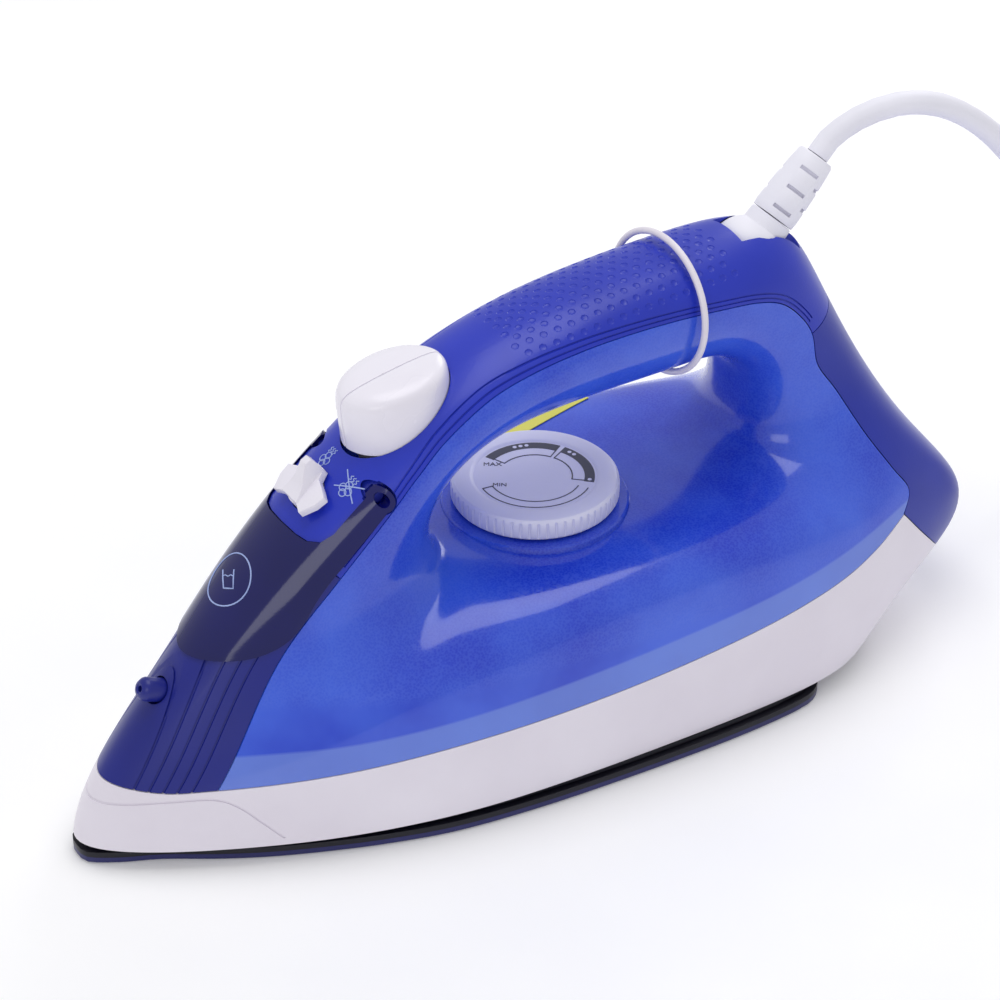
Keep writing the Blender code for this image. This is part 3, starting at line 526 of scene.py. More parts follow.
# %% [markdown]
# ## The iron's own finishes
# Each moulding has its colour and gloss. The grip is satin so that it doesn't slip in the hand, the door
# and the buttons are polished, the cord's sleeve is soft, and the metal parts inside are dull or bright.

# %% Plastics and metals
grip_plastic = finish("grip_satin_blue", (32, 52, 190), (27, 45, 174), 1700, 0.35, 0.3, 0.06,
                      Coat_Weight=0.08, Specular_IOR_Level=0.42)
nose_plastic = finish("nose_deep_blue", (24, 34, 136), (20, 29, 124), 1500, 0.3, 0.3, 0.06,
                      Coat_Weight=0.08, Specular_IOR_Level=0.4)
# painted shade: the rear cover is the grip's blue made darker, where the back turns away from the light
shaded_rear_plastic = finish("rear_deep_blue", (32, 48, 164), (27, 42, 152), 1500, 0.3, 0.32, 0.06,
                      Coat_Weight=0.08, Specular_IOR_Level=0.4)
door_plastic = finish("door_navy", (9, 12, 92), (6, 9, 78), 1200, 0.08, 0.07, 0.04,
                      Specular_IOR_Level=0.5)
white_plastic = finish("warm_white", (232, 227, 238),
(225, 219, 231), 1300, 0.2, 0.32, 0.08, Coat_Weight=0.1)
button_plastic = finish("button_white", (240, 237, 248), (233, 229, 241), 1200, 0.12, 0.24, 0.06,
                        Coat_Weight=0.15)
dial_plastic = finish("dial_white", (222, 222, 246), (214, 215, 240), 1600, 0.35, 0.34, 0.06)
sleeve_rubber = finish("sleeve_soft_white", (240, 239, 250), (232, 231, 242), 2200, 0.5, 0.5, 0.08)
print_grey = finish("printed_grey", (58, 60, 84), (50, 52, 76), 2400, 0.3, 0.45, 0.05)
print_pale = finish("printed_pale", (166, 184, 236), (158, 176, 230), 2400, 0.3, 0.45, 0.05)
rim_plastic = finish("rim_moulded_black", (16, 16, 30), (11, 11, 24), 1500, 0.5, 0.45, 0.1)
sole_coating = finish("sole_glazed_coat", (44, 45, 104), (38, 39, 94), 2600, 0.6, 0.3, 0.1, Metallic=0.25)
label_film = finish("label_film_yellow", (226, 222, 96), (218, 213, 86), 900, 0.15, 0.35, 0.05)
cast_metal = finish("casting_aluminium", (168, 168, 172),
(146, 146, 152), 700, 1.0, 0.45, 0.15, Metallic=0.9)
steel = finish("drawn_steel", (198, 199, 204), (182, 183, 190), 1800, 0.3, 0.22, 0.1, Metallic=1.0)
brass = finish("turned_brass", (196, 160, 84), (180, 144, 70), 1500, 0.3, 0.28, 0.1, Metallic=1.0)
heater_steel = finish("heater_tube_steel", (96, 92, 90), (78, 74, 74), 1100, 0.5, 0.4, 0.15, Metallic=0.8)
grey_rubber = finish("grey_rubber", (88, 90, 96), (78, 80, 86), 2000, 0.5, 0.6, 0.1)
ceramic = finish("glazed_ceramic", (226, 222, 212), (216, 211, 200), 800, 0.2, 0.22, 0.08)
print(len(bpy.data.materials), "materials")

# %% [markdown]
# ## The clear tank
# The tank is tinted plastic with water behind it. It is polished along its foot and frosted higher up,
# where a fine speckle keeps fingerprints from showing. The frost is a mask over height and a small cell
# pattern. Some light goes through the wall, so the tank glows where it is thin. Along the foot the blue is
# painted lighter: painted light where the side wall catches the light.

# %% Tank finish
tank_plastic = finish("tank_clear_blue", (28, 60, 214), (66, 108, 244), 900, 0.15, 0.09, 0.05,
                      Coat_Weight=0.25, Transmission_Weight=0.2, IOR=1.49)
FROST_FROM = 0.044       # metres above the board
# painted light: below this sloping line the tank's foot is painted a lighter blue, where its side wall is
# lit
LIT_FOOT_LINE = (0.0412, 0.0404)
LIT_FOOT_SLOPE = -0.07       # the foot's line falls by this share towards the heel
tree, place, skin, face = basis(tank_plastic)
height = add(tree, "SeparateXYZ")
frost = add(tree, "MapRange", From_Min=FROST_FROM, From_Max=FROST_FROM + 0.003)
cells = add(tree, "TexVoronoi", Scale=1500)
speckle = add(tree, "MapRange", From_Min=0.25, From_Max=0.7, To_Max=0.22)
amount = sum_node(tree, "MULTIPLY")
rough = sum_node(tree, "MAXIMUM")
tint = colour_mix(tree, B=linear(92, 128, 246))
foot = sum_node(tree, "MULTIPLY_ADD")
foot.inputs[1].default_value = LIT_FOOT_SLOPE
# the mask and the lighter blue of the painted light along the tank's foot
lit_foot_mask = add(tree, "MapRange", From_Min=LIT_FOOT_LINE[0], From_Max=LIT_FOOT_LINE[1], To_Max=0.5)
painted_light_foot = colour_mix(tree, B=linear(138, 168, 244))
wire(tree, (place, "Object", height, "Vector"), (place, "Object", cells, "Vector"),
     (height, "Z", frost, "Value"), (cells, "Distance", speckle, "Value"),
     (frost, "Result", amount, 0), (speckle, "Result", amount, 1), (amount, "Value", rough, 0),
     (skin, "Roughness", rough, 1), (rough, "Value", face, "Roughness"),
     (amount, "Value", tint, "Factor"), (skin, "Colour", tint, "A"), (height, "X", foot, 0),
     (height, "Z", foot, 2), (foot, "Value", lit_foot_mask, "Value"),
     (lit_foot_mask, "Result", painted_light_foot, "Factor"), (tint, "Result", painted_light_foot, "A"),
     (painted_light_foot, "Result", face, "Base Color"))
print("frosted above", FROST_FROM, "m")

# %% [markdown]
# ## The sole's painted shadow
# The sole's underside is glazed. Above 1.8 mm its edge is painted nearly black, a painted shadow of the
# gap under the skirt. A mask over height turns one into the other.

# %% Edge painted shadow
def paint_shade_above(mat, low, high, rgb):
    """Paint shade into a finish: another colour above a height."""
    tree, place, skin, face = basis(mat)
    parts = add(tree, "SeparateXYZ")
    mask = add(tree, "MapRange", From_Min=low, From_Max=high)
    mix = colour_mix(tree, B=linear(*rgb))
    wire(tree, (place, "Object", parts, "Vector"), (parts, "Z", mask, "Value"),
         (mask, "Result", mix, "Factor"), (skin, "Colour", mix, "A"), (mix, "Result", face, "Base Color"))


# painted shadow: the sole's edge is nearly black above 1.8 mm, where the gap under the skirt lies in shade
paint_shade_above(sole_coating, 0.0016, 0.0018, (12, 12, 26))
print("the sole's edge is dark above 1.8 mm")

# %% [markdown]
# ## Placing a piece
# A finished piece gets one material, rides on a body of the moving model, and stands for the engineering
# nodes that it hides. A piece that bends has no body of its own.

# %% Placing
def place_on(obj, body, mat, slot, *nodes):
    """Give a finished piece its material, its body and the CAD nodes it stands for; slot is not used."""
    obj.data.materials.clear()
    obj.data.materials.append(mat)
    if body:
        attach(obj, body)
    if nodes:
        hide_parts(*nodes)
    return obj


print("ready to place pieces")

# %% [markdown]
# ## The cord
# A mains cord of 7 mm leaves the swivel ball, arches over and comes down behind the heel. The rest of its
# 1.8 m is wound into a neat coil of six turns, and a short tail carries the plug. It is a curve with a
# round bevel, made into a mesh.

# %% Route and tube
BALL = (221.0, 0.0, 124.6)
BALL_R = 11.0
SLEEVE_ANGLE = math.radians(46)
SLEEVE_END = 34.0
CORD_R = 3.5
COIL = (408.0, -30.0)
COIL_CELLS = [(42.5, 4.7), (35.5, 4.7), (35.5, 11.7), (42.5, 11.7), (35.5, 18.7), (42.5, 18.7)]
PLUG_Z = 39.9        # the plug lies on the coil


def out_of_ball(distance):
    return (BALL[0] + distance * math.cos(SLEEVE_ANGLE), 0.0, BALL[2] + distance * math.sin(SLEEVE_ANGLE))


def coil_points():
    """Places along the turns; each turn slides over to the next cell in its first thirty degrees."""
    points = []
    start, per_turn = 176, 18
    for i in range(len(COIL_CELLS) * per_turn - 4):
        turn, within = divmod(i, per_turn)
        new = COIL_CELLS[min(turn, len(COIL_CELLS) - 1)]
        old = COIL_CELLS[max(0, min(turn, len(COIL_CELLS) - 1) - 1)]
        t = min(1.0, within / 2) if turn < len(COIL_CELLS) else 1.0
        r, z = (o + (n - o) * t for o, n in zip(old, new))
        angle = math.radians(start + i * 360 / per_turn)
        points.append((COIL[0] + r * math.cos(angle), COIL[1] + r * math.sin(angle), z))
    return points


RUN = [out_of_ball(SLEEVE_END + 0.3), out_of_ball(SLEEVE_END + 6), (257, -2, 158.6), (269, -4.5, 161),
       (283, -7, 158), (298, -8.5, 148), (312, -9, 133), (325, -6, 115), (335, -1, 94), (342, 5, 70),
       (347, 10, 46), (352, 9, 24), (357, 1, 8), (360.3, -11, CORD_R + 0.1)]
TAIL = [(401, 12, 25.8), (392.5, 9.5, 28), (386, 4, 33), (382.6, -1, 38), (382, -6, PLUG_Z),
        (382, -12, PLUG_Z)]


def tube(name, route, radius, closed=False, sides=4):
    """A round tube along places in millimetres, as a mesh."""
    curve = bpy.data.curves.new(name, "CURVE")
    curve.dimensions = "3D"
    curve.bevel_depth = radius * MM
    curve.bevel_resolution = sides
    curve.use_fill_caps = not closed
    line = curve.splines.new("POLY")
    line.use_cyclic_u = closed
    line.points.add(len(route) - 1)
    for point, place in zip(line.points, route):
        point.co = (*at(*place), 1.0)
    obj = bpy.data.objects.new(name, curve)
    bpy.context.scene.collection.objects.link(obj)
    pick(obj)
    bpy.ops.object.convert(target="MESH")
    return edit(obj, MERGE, OUTWARD)


cord_route = smooth_line(RUN + coil_points() + TAIL, step=5)
cord_length = sum((b - a).length for a, b in zip(cord_route, cord_route[1:]))
cord = smooth(tube("mains_cord", cord_route, CORD_R), ROUND_ANGLE)
print("cord of", round(cord_length), "mm in", len(cord.data.polygons), "faces")

# %% [markdown]
# ## The plug, and how the cord hangs together
# The plug is a moulding of the same soft plastic as the cord: a narrow neck that swells into a round body.
# Turned shapes are quickest as a half profile spun round its axis. The cord rides on no body, and its mesh
# is baked where it lies.

# %% Plug
plug_place = between((382, -12.3, PLUG_Z), (382, -22.3, PLUG_Z))
plug_profile = [(0, 44), (16.2, 44), (17.3, 43), (17.4, 27), (15.8, 22.5), (12.4, 17), (9.2, 12), (6.8, 8),
                (6.6, 6.4), (5.8, 6.2), (5.8, 5.2), (6.4, 5.0), (6.3, 3.6), (5.6, 3.4), (5.6, 2.2),
                (6.1, 2),
                (5.5, 0), (0, 0)]
plug = smooth(lathe("plug_moulding", plug_profile, plug_place), 35)
place_on(plug, "iron", sleeve_rubber, "sleeve_white", "plug_body")
place_on(cord, None, sleeve_rubber, "sleeve_white", "cord_run", "cord_coil", "cord_tail")
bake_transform(cord)
print("plug has", len(plug.data.polygons), "faces")

# %% [markdown]
# ## Engraved lines
# Fine lines in a moulding are narrow grooves in the tool. A ribbon beside a seam, pushed right through
# the iron, less the form moved inward by the groove's depth, is a cutter of exactly that depth.

# %% Engraving
def offset_line(points, distance):
    """An open line moved sideways by distance; plus is to the left of its run."""
    moved = []
    for i, here in enumerate(points):
        way = (points[min(i + 1, len(points) - 1)] - points[max(i - 1, 0)]).normalized()
        moved.append(here + Vector((-way.y, way.x)) * distance)
    return moved


def engrave(obj, points, distance, width, depth):
    """A groove beside a line of the side view."""
    near = offset_line(points, distance - width / 2)
    far = offset_line(points, distance + width / 2)
    ring = [at(p.x, -PAST, p.y) for p in near + far[::-1]]
    ribbon = block("tool_ribbon", ring, Vector((0, 2 * PAST * MM, 0)))
    cut(ribbon, form(depth), keep=True)
    return cut(obj, ribbon)


print("groove cutter ready")

# %% [markdown]
# ## Tank
# The tank is the large lower casing: the form inside its own seams, hollowed to a wall of 2.4 mm. A round
# seat for the dial stands on its deck. It is joined on, and the hole for the dial's spindle is drilled.

# %% Tank
DIAL = (150.0, 0.0)
SEAT_R = 27.0
tank_outline = smooth_line(SKIRT_SEAM, 3) + smooth_line(TANK_SEAM)[:0:-1]
tank = shell("tank_shell", tank_outline)
seat = [(0, 66.4), (SEAT_R - 0.5, 66.4), (SEAT_R, 66.0), (SEAT_R + 0.6, 63.4), (0, 63.4)]
cut(tank, lathe("tool_seat", seat, leaning((*DIAL, 0)), 96), "UNION")
cut(tank, rod("tool_spindle_hole", 4, 50, 75, leaning((*DIAL, 0)), 32))
smooth(tank)
place_on(tank, "iron", tank_plastic, "tank_blue", "water_tank")
print("tank", len(tank.data.polygons), "faces")

# %% [markdown]
# ## Heat skirt
# A white skirt stands between the hot sole and the plastic above. Its lower edge is flat and its sides
# follow the form. A shallow step runs round it near the nose, where the tool's two halves meet.

# %% Skirt
SKIRT_FOOT = 5.35
STEP = [(5, 18.4), (12.3, 19.6), (22, 21), (31.9, 21.6), (37.5, 19), (42.5, 13.8), (47.9, 7.8)]
skirt_outline = ([Vector((-20, SKIRT_FOOT))] + smooth_line(SKIRT_SEAM) + smooth_line(HEEL_SEAM, 0, 3)[1:]
                 + [Vector((291, SKIRT_FOOT))])
skirt = shell("skirt_shell", skirt_outline)
engrave(skirt, smooth_line(STEP), 0, 0.6, 0.3)
smooth(skirt)
place_on(skirt, "iron", white_plastic, "white_plastic", "heat_skirt")
print("skirt", len(skirt.data.polygons), "faces")

# %% [markdown]
# ## Door and the room it needs
# The water door wraps over the nose and reaches back with two arms, one on each side of the lever's
# panel. It is a slice of the form moved outward a little. The same shape, a gap larger, is its room.

# %% Door outline and tools
LEDGE = 1.6
PROUD = 0.7
DOOR_PIN = (89.5, 96.6)
BOSS_R = 3.3
BOSS_Y = 14.5
LEVER = (76.5, 0.0, 93.8)
LEVER_TILT = -33.0
PANEL_HALF = [(-10.6, 1), (-10.4, 7), (-9.6, 11), (-7.2, 14), (-3, 15.2), (40, 15.2)]


def door_outline(boss):
    """The door in the side view, with round arm ends of radius boss."""
    low = smooth_line(DOOR_LOW)
    arc = [math.radians(a) for a in range(-82, 131, 10)]
    ring = [Vector((DOOR_PIN[0] + boss * math.cos(a), DOOR_PIN[1] + boss * math.sin(a))) for a in arc]
    return low + ring + [Vector((78, 116)), Vector((17, 116))]


def across(name, place, low, high, radius):
    """A round rod that lies sideways."""
    lying = Matrix.Translation(at(place[0], 0, place[1])) @ Matrix.Rotation(-math.pi / 2, 4, "X")
    return rod(name, radius, low, high, lying, 40)


def panel_block(grow, boss):
    """The room over the lever's panel, square to it, less the round bosses beside it."""
    side = [(u - grow, half + grow) for u, half in PANEL_HALF]
    place = leaning(LEVER, LEVER_TILT)
    ring = [place @ Vector((u * MM, half * MM, -12 * MM)) for u, half in side]
    ring += [place @ Vector((u * MM, -half * MM, -12 * MM)) for u, half in reversed(side)]
    tool = block("tool_panel", ring, place.to_3x3() @ Vector((0, 0, 34 * MM)))
    return cut(tool, across("tool_boss", DOOR_PIN, -30, 30, boss))


def door_room():
    """The room that the nose and the grip leave for the door."""
    room = side_block("tool_door_room", door_outline(BOSS_R + GAP), gap=-GAP / 2)
    cut(room, form(LEDGE + GAP), keep=True)
    return cut(room, panel_block(-GAP / 2, BOSS_R + GAP))


print("door tools ready")

# %% [markdown]
# ## Door
# The door's skin stands a little proud of its neighbours, so a fingertip finds its edge. The arms are cut
# apart in the middle, and each is drilled for its pin.

# %% Door
door = cut(fresh("fill_door_skin", -PROUD), side_block("tool_region", door_outline(BOSS_R)), "INTERSECT")
cut(door, form(LEDGE), keep=True)
cut(door, panel_block(GAP / 2, BOSS_R))
cut(door, across("tool_between", DOOR_PIN, -BOSS_Y, BOSS_Y, BOSS_R + 0.8))
for side in (-1, 1):
    inner, outer = sorted((side * 10, side * 30))
    cut(door, across("tool_pin_hole", DOOR_PIN, inner, outer, 1.8))
smooth(door)
place_on(door, "fill_door", door_plastic, "door_blue", "fill_door")
print("door", len(door.data.polygons), "faces")

# %% [markdown]
# ## Nose cover
# The nose is a thick blue moulding below the door, with the spray hole in front and the water inlet on
# top. Five shallow grooves run beside its rear seam, so the finger feels where the tank begins.

# %% Nose
nose_seam = smooth_line(TANK_SEAM, 0, NOSE_TOP)
nose_outline = ([Vector((-20, 27))] + smooth_line(SKIRT_SEAM, 1, 3) + nose_seam[1:]
                + [PANEL_FRONT, Vector((-20, 100))])
nose = shell("nose_shell", nose_outline, THICK_WALL)
first_way = (nose_seam[1] - nose_seam[0]).normalized()
rib_line = [nose_seam[0] - first_way * 16] + nose_seam[:-1]
for i in range(5):
    engrave(nose, rib_line, 4.8 + 2.6 * i, 0.55, 0.35)
cut(nose, door_room())
cut(nose, rod("tool_spray_hole", 4, -4, 20, between((18, 0, 50.5), (40, 0, 40)), 40))
cut(nose, rod("tool_inlet", 8.3, -14, 12, leaning((57, 0, 80), -46), 48))
smooth(nose)
place_on(nose, "iron", nose_plastic, "nose_blue", "nose_cover")
print("nose", len(nose.data.polygons), "faces")

# %% [markdown]
# ## Buttons
# The spray and the boost button are the two halves of one oval dome. The dome is turned as a round
# profile, stretched to an oval and tilted along its top. A straight cut leaves a thin dark gap between
# the halves, and each half is a piece of its own, so each can be pressed.

# %% Button dome
BUTTONS = (104.5, 0.0, 111.5)
BUTTON_TILT = -6.0
BUTTON_HALF = (16.4, 13.0)
button_place = leaning(BUTTONS, BUTTON_TILT)


def oval(name, profile, lean=0.0):
    """A turned profile of (share of the oval, height), stretched to the buttons' oval."""
    obj = lathe(name, [(r * 10, z) for r, z in profile], Matrix.Identity(4), 72)
    for vert in obj.data.vertices:
        vert.co.x *= BUTTON_HALF[0] / 10
        vert.co.y *= BUTTON_HALF[1] / 10
        vert.co.z += lean * vert.co.x if vert.co.z > 0 else 0
    obj.data.transform(button_place)
    return obj


DOME = [(0, 12.2), (0.3, 12.15), (0.6, 11.9), (0.78, 11.5), (0.88, 11.0), (0.94, 10.3), (0.975, 9.3),
        (0.99, 8.0), (1, 6.0), (1, -6), (0, -6)]
for side, word in ((-1, "spray"), (1, "boost")):
    button = oval(word + "_dome", DOME, 0.07)
    near, far = sorted((side * GAP / 2, side * 40))
    half = [at(60, near, 60), at(150, near, 60), at(150, far, 60), at(60, far, 60)]
    cut(button, block("tool_half", half, Vector((0, 0, 100 * MM))), "INTERSECT")
    soften(button, 0.5)
    smooth(button, 35)
    place_on(button, word + "_button", button_plastic, "white_plastic", word + "_button")
print("two buttons")

# %% [markdown]
# ## Dimples of the grip
# Shallow round dimples on the grip's back keep the palm from slipping. One cutter is modelled as a small
# lens, and copies of it are dropped on the form by rays. They are cut first, while the form is clean.

# %% Dimples
def surface_finder(obj):
    """A tree of the object's faces, for casting rays."""
    mesh = obj.data
    return BVHTree.FromPolygons([v.co for v in mesh.vertices], [p.vertices for p in mesh.polygons])


skin_finder = surface_finder(form(0.0))
lens_profile = [(0, 1), (1.2, 1), (1.15, 0), (0.9, -0.2), (0.5, -0.28), (0, -0.3)]
lens = lathe("tool_dimple", lens_profile, Matrix.Identity(4), 10)
lenses = []
for row in range(-5, 6):
    angle = math.radians(90 + row * 11.5)
    for column in range(17):
        x = 137 + 4.2 * column + (2.1 if row % 2 else 0)
        middle = at(x, 0, 116 + (x - 137) * 0.06)
        way = Vector((0, math.cos(angle), math.sin(angle)))
        hit, normal, _, _ = skin_finder.ray_cast(middle + way * 0.06, -way)
        if hit is None or abs(x - 171) > 36:
            continue
        dimple = lens.copy()
        dimple.data = lens.data.copy()
        dimple.data.transform(Matrix.Translation(hit) @ normal.to_track_quat("Z", "Y").to_matrix().to_4x4())
        bpy.context.scene.collection.objects.link(dimple)
        lenses.append(dimple)
bpy.data.objects.remove(lens)
print(len(lenses), "dimples")
grip = cut(fresh("grip_shell", 0.0), joined("tool_dimples", lenses))

# %% [markdown]
# ## Grip
# The grip carries everything the hand works. It is cropped from the dimpled form, with a double groove
# along the tank, wells for the lever and the buttons, and beds for the door's round arm ends.

# %% Grip body
grip_outline = ([PANEL_FRONT] + smooth_line(TANK_SEAM, NOSE_TOP, CROWN)
                + [CROWN_END, Vector((262, 160)), Vector((30, 160))])
cut(grip, side_block("tool_region", grip_outline), "INTERSECT")
cut(grip, form(THICK_WALL), keep=True)
grip_seam = smooth_line(TANK_SEAM, NOSE_TOP, CROWN)
for distance in (1.2, 2.4):
    engrave(grip, grip_seam[2:-2], distance, 0.45, 0.4)
cut(grip, door_room())
dish = [(0, 12), (5.4, 12), (5.4, -2.6), (4, -2.6), (4, -14), (0, -14)]
cut(grip, lathe("tool_dish", dish, leaning(LEVER, LEVER_TILT), 48))
well = (BUTTON_HALF[0] + GAP) / BUTTON_HALF[0]
cut(grip, oval("tool_well", [(0, 30), (well, 30), (well, -14), (0, -14)]))
for side in (-1, 1):
    inner, outer = sorted((side * 12, side * 24))
    cut(grip, across("tool_pin_bore", DOOR_PIN, inner, outer, 1.9))
    inner, outer = sorted((side * (BOSS_Y - GAP), side * 30))
    cut(grip, across("tool_boss_bed", DOOR_PIN, inner, outer, BOSS_R + 2 * GAP))
print("grip body", len(grip.data.polygons), "faces")

# %% [markdown]
# ## Ball socket
# The cord's ball sits in a round hollow at the back of the grip. The slot above it is as wide as the
# sleeve and a little longer than its swing, so the sleeve never touches the grip.

# %% Ball socket
SLEEVE_SWING = (-12, 42)
SLOT_REACH = 42


def ball_room():
    """The hollow for the ball, with the slot in which its sleeve swings."""
    hollow = [((BALL_R + 0.4) * math.cos(math.radians(a)), (BALL_R + 0.4) * math.sin(math.radians(a)))
              for a in range(-90, 91, 10)]
    profile = [(0, hollow[0][1])] + hollow[1:-1] + [(0, hollow[-1][1])]
    room = lathe("tool_ball_room", profile, leaning(BALL), 48)
    low, high = (SLEEVE_ANGLE + math.radians(a) for a in SLEEVE_SWING)
    half = 7.3
    fan = [(half * math.sin(low), -half * math.cos(low)),
           (SLOT_REACH * math.cos(low) + half * math.sin(low),
            SLOT_REACH * math.sin(low) - half * math.cos(low)),
           (30, 42),
           (SLOT_REACH * math.cos(high) - half * math.sin(high),
            SLOT_REACH * math.sin(high) + half * math.cos(high)),
           (-half * math.sin(high), half * math.cos(high))]
    ring = [at(BALL[0] + x, -half, BALL[2] + z) for x, z in fan]
    return cut(room, block("tool_slot", ring, Vector((0, 2 * half * MM, 0))), "UNION")


cut(grip, ball_room())
smooth(grip)
place_on(grip, "iron", grip_plastic, "grip_blue", "handle_cover")
print("grip", len(grip.data.polygons), "faces")

# %% [markdown]
# ## Rear cover
# The back of the loop is a separate shell between the crown and the heel. Its blue is painted darker than
# the grip's, a painted shade where the back turns away from the light. Two screws hold it, so it is drilled
# from the back for each. It has the same wall as the tank, and its seams are shared lines too.

# %% Rear cover
rear_outline = ([CROWN_END] + smooth_line(TANK_SEAM, CROWN) + smooth_line(HEEL_SEAM)[1:]
                + [Vector((330, -4)), Vector((330, 114))])
rear = shell("rear_shell", rear_outline)
for side in (-1, 1):
    cut(rear, rod("tool_screw_hole", 2.3, 0, 35, between((262, side * 9, 56), (292, side * 9, 74)), 32))
smooth(rear)
place_on(rear, "iron", shaded_rear_plastic, "rear_blue", "rear_cover")
print("rear cover", len(rear.data.polygons), "faces")

# %% [markdown]
# ## Sole
# The sole is a plate of coated aluminium: a pointed oval with a rounded edge and steam holes. A smooth
# outline through a few half widths is pushed into a plate, drilled, and its edges are rounded.

# %% Sole plate
SOLE_THICK = 3.5
SOLE_HALF = [(0, 0), (1, 4.6), (8.5, 9.6), (19, 14.6), (32, 22.6), (45, 29.6), (60, 36.2), (76, 42.2),
             (95, 47.6), (120, 51.2), (150, 53.4), (183, 54.6), (208, 53.6), (217, 50.5), (221, 44),
             (222, 34)]
half_line = smooth_line(SOLE_HALF, step=3)
sole_ring = [at(p.x, max(0.0, p.y), 0) for p in half_line]
sole_ring += [at(p.x, -max(0.0, p.y), 0) for p in reversed(half_line[1:])]
sole = block("sole_plate", sole_ring, Vector((0, 0, SOLE_THICK * MM)))
STEAM_HOLES = [(26, 0), (38, 9), (54, 17), (74, 24), (98, 29), (124, 32), (60, 0), (84, 0)]
for x, y in STEAM_HOLES:
    for side in ((-1, 1) if y else (1,)):
        cut(sole, rod("tool_steam_hole", 1.4, -2, 6, Matrix.Translation(at(x, side * y, 0)), 16))
soften(sole, 0.8, 4)
smooth(sole, 35)
place_on(sole, "iron", sole_coating, "sole_coating", "soleplate")
print("sole", len(sole.data.polygons), "faces")

# %% [markdown]
# ## Dial
# The temperature dial is a low disc with a knurled rim and a shallow printed face. The knurl is cut by one
# small groove tool copied round the rim. The prints are thin plates, so they keep their sharp edges.

# %% Dial disc
DIAL_R = 24.3
dial_place = leaning((*DIAL, 0))
disc = [(0, 73.2), (17.6, 73.2), (18.3, 73.7), (18.9, 73.8), (22.4, 73.8), (23.4, 73.5), (24.0, 72.8),
        (24.2, 71.8), (24.2, 68.2), (23.7, 67.3), (23.2, 67.0), (0, 67.0)]
dial = lathe("dial_disc", disc, dial_place, 144)
knurl_profile = [(0, 66), (0.5, 66), (0.5, 72.6), (0.2, 73.2), (0, 73.3)]
knurl = lathe("tool_knurl", knurl_profile, Matrix.Identity(4), 8)
GROOVES = 60
grooves = []
for i in range(GROOVES):
    groove = knurl.copy()
    groove.data = knurl.data.copy()
    groove.data.transform(dial_place @ Matrix.Rotation(2 * math.pi * i / GROOVES, 4, "Z")
                          @ Matrix.Translation((DIAL_R * MM, 0, 0)))
    bpy.context.scene.collection.objects.link(groove)
    grooves.append(groove)
bpy.data.objects.remove(knurl)
cut(dial, joined("tool_knurl", grooves))
smooth(dial, 30)
place_on(dial, "temperature_dial", dial_plastic, "white_plastic", "temperature_dial")
print("dial", len(dial.data.polygons), "faces")

# %% [markdown]
# ## Dial prints
# A temperature scale needs no words in any language: one, two and three dots, and bands between them. A
# low mark and a high mark end it. Each print is a thin plate that stands just proud of the disc.

# %% Dial prints
def ring_part(name, inner, outer, first, last, low, high):
    """A thin plate between two radii and two bearings; 0 is towards the heel, 90 is the far side."""
    steps = max(2, round(abs(last - first) / 4))
    bearings = [math.radians(first + (last - first) * i / steps) for i in range(steps + 1)]
    ring = [(outer, a) for a in bearings] + [(inner, a) for a in reversed(bearings)]
    points = [dial_place @ Vector((r * math.cos(a) * MM, r * math.sin(a) * MM, low * MM)) for r, a in ring]
    return block(name, points, Vector((0, 0, (high - low) * MM)))


def dot(name, radius, bearing, size, low, high):
    """A small round print at a radius and a bearing."""
    a = math.radians(bearing)
    place = dial_place @ Matrix.Translation((radius * MM * math.cos(a), radius * MM * math.sin(a), 0))
    return rod(name, size, low, high, place, 20)


def word_plate(name, text, radius, bearing, size, low, high):
    """A generic word on the dial's face, read from outside."""
    bpy.ops.object.select_all(action="DESELECT")
    bpy.ops.object.text_add()
    obj = bpy.context.object
    obj.name = name
    obj.data.body = text
    obj.data.size = size * MM
    obj.data.align_x = "CENTER"
    obj.data.align_y = "CENTER"
    obj.data.extrude = (high - low) * MM / 2
    bpy.ops.object.convert(target="MESH")
    a = math.radians(bearing)
    spot = (radius * MM * math.cos(a), radius * MM * math.sin(a), (low + high) / 2 * MM)
    place = dial_place @ Matrix.Translation(spot)
    obj.data.transform(place @ Matrix.Rotation(math.radians(-32), 4, "Z"))
    obj.matrix_world = Matrix.Identity(4)
    return obj


FACE = (73.1, 73.3)
prints = [ring_part("print_band_hot", 14.2, 17.1, 114, 32, *FACE),
          ring_part("print_band_warm", 14.2, 17.1, 27, -44, *FACE)]
for i, (first, last) in enumerate(((113, 32), (27, -43))):
    prints.append(ring_part(f"print_inner_{i}", 10.5, 10.85, first, last, *FACE))
    prints.append(ring_part(f"print_end_a_{i}", 10.6, 14.4, first, first - 1.4, *FACE))
    prints.append(ring_part(f"print_end_b_{i}", 10.6, 14.4, last, last + 1.4, *FACE))
prints.append(ring_part("print_low_outer", 16.2, 16.5, 172, 305, *FACE))
prints.append(ring_part("print_low_inner", 13.2, 13.5, 172, 305, *FACE))
prints.append(ring_part("print_low_end", 13.3, 16.4, 172, 173.3, *FACE))
prints.append(word_plate("print_max", "MAX", 13.4, 123, 2.5, *FACE))
prints.append(word_plate("print_min", "MIN", 11.2, 174, 2.3, *FACE))
for number, middle in ((3, 73), (2, 15), (1, -40)):
    for i in range(number):
        bearing = middle + (i - (number - 1) / 2) * 6.5
        mark = dot(f"print_dot_{number}_{i}", 15.7, bearing, 0.6, 73.2, 73.34)
        place_on(mark, "temperature_dial", dial_plastic, "white_plastic")
for piece in prints:
    place_on(piece, "temperature_dial", print_grey, "white_plastic")
print(len(prints), "prints")

# %% [markdown]
# ## Steam lever
# A fishtail plate on a round hub, with a finger blade. Three simple blocks are joined and their edges
# rounded together, which blends them as one moulding.

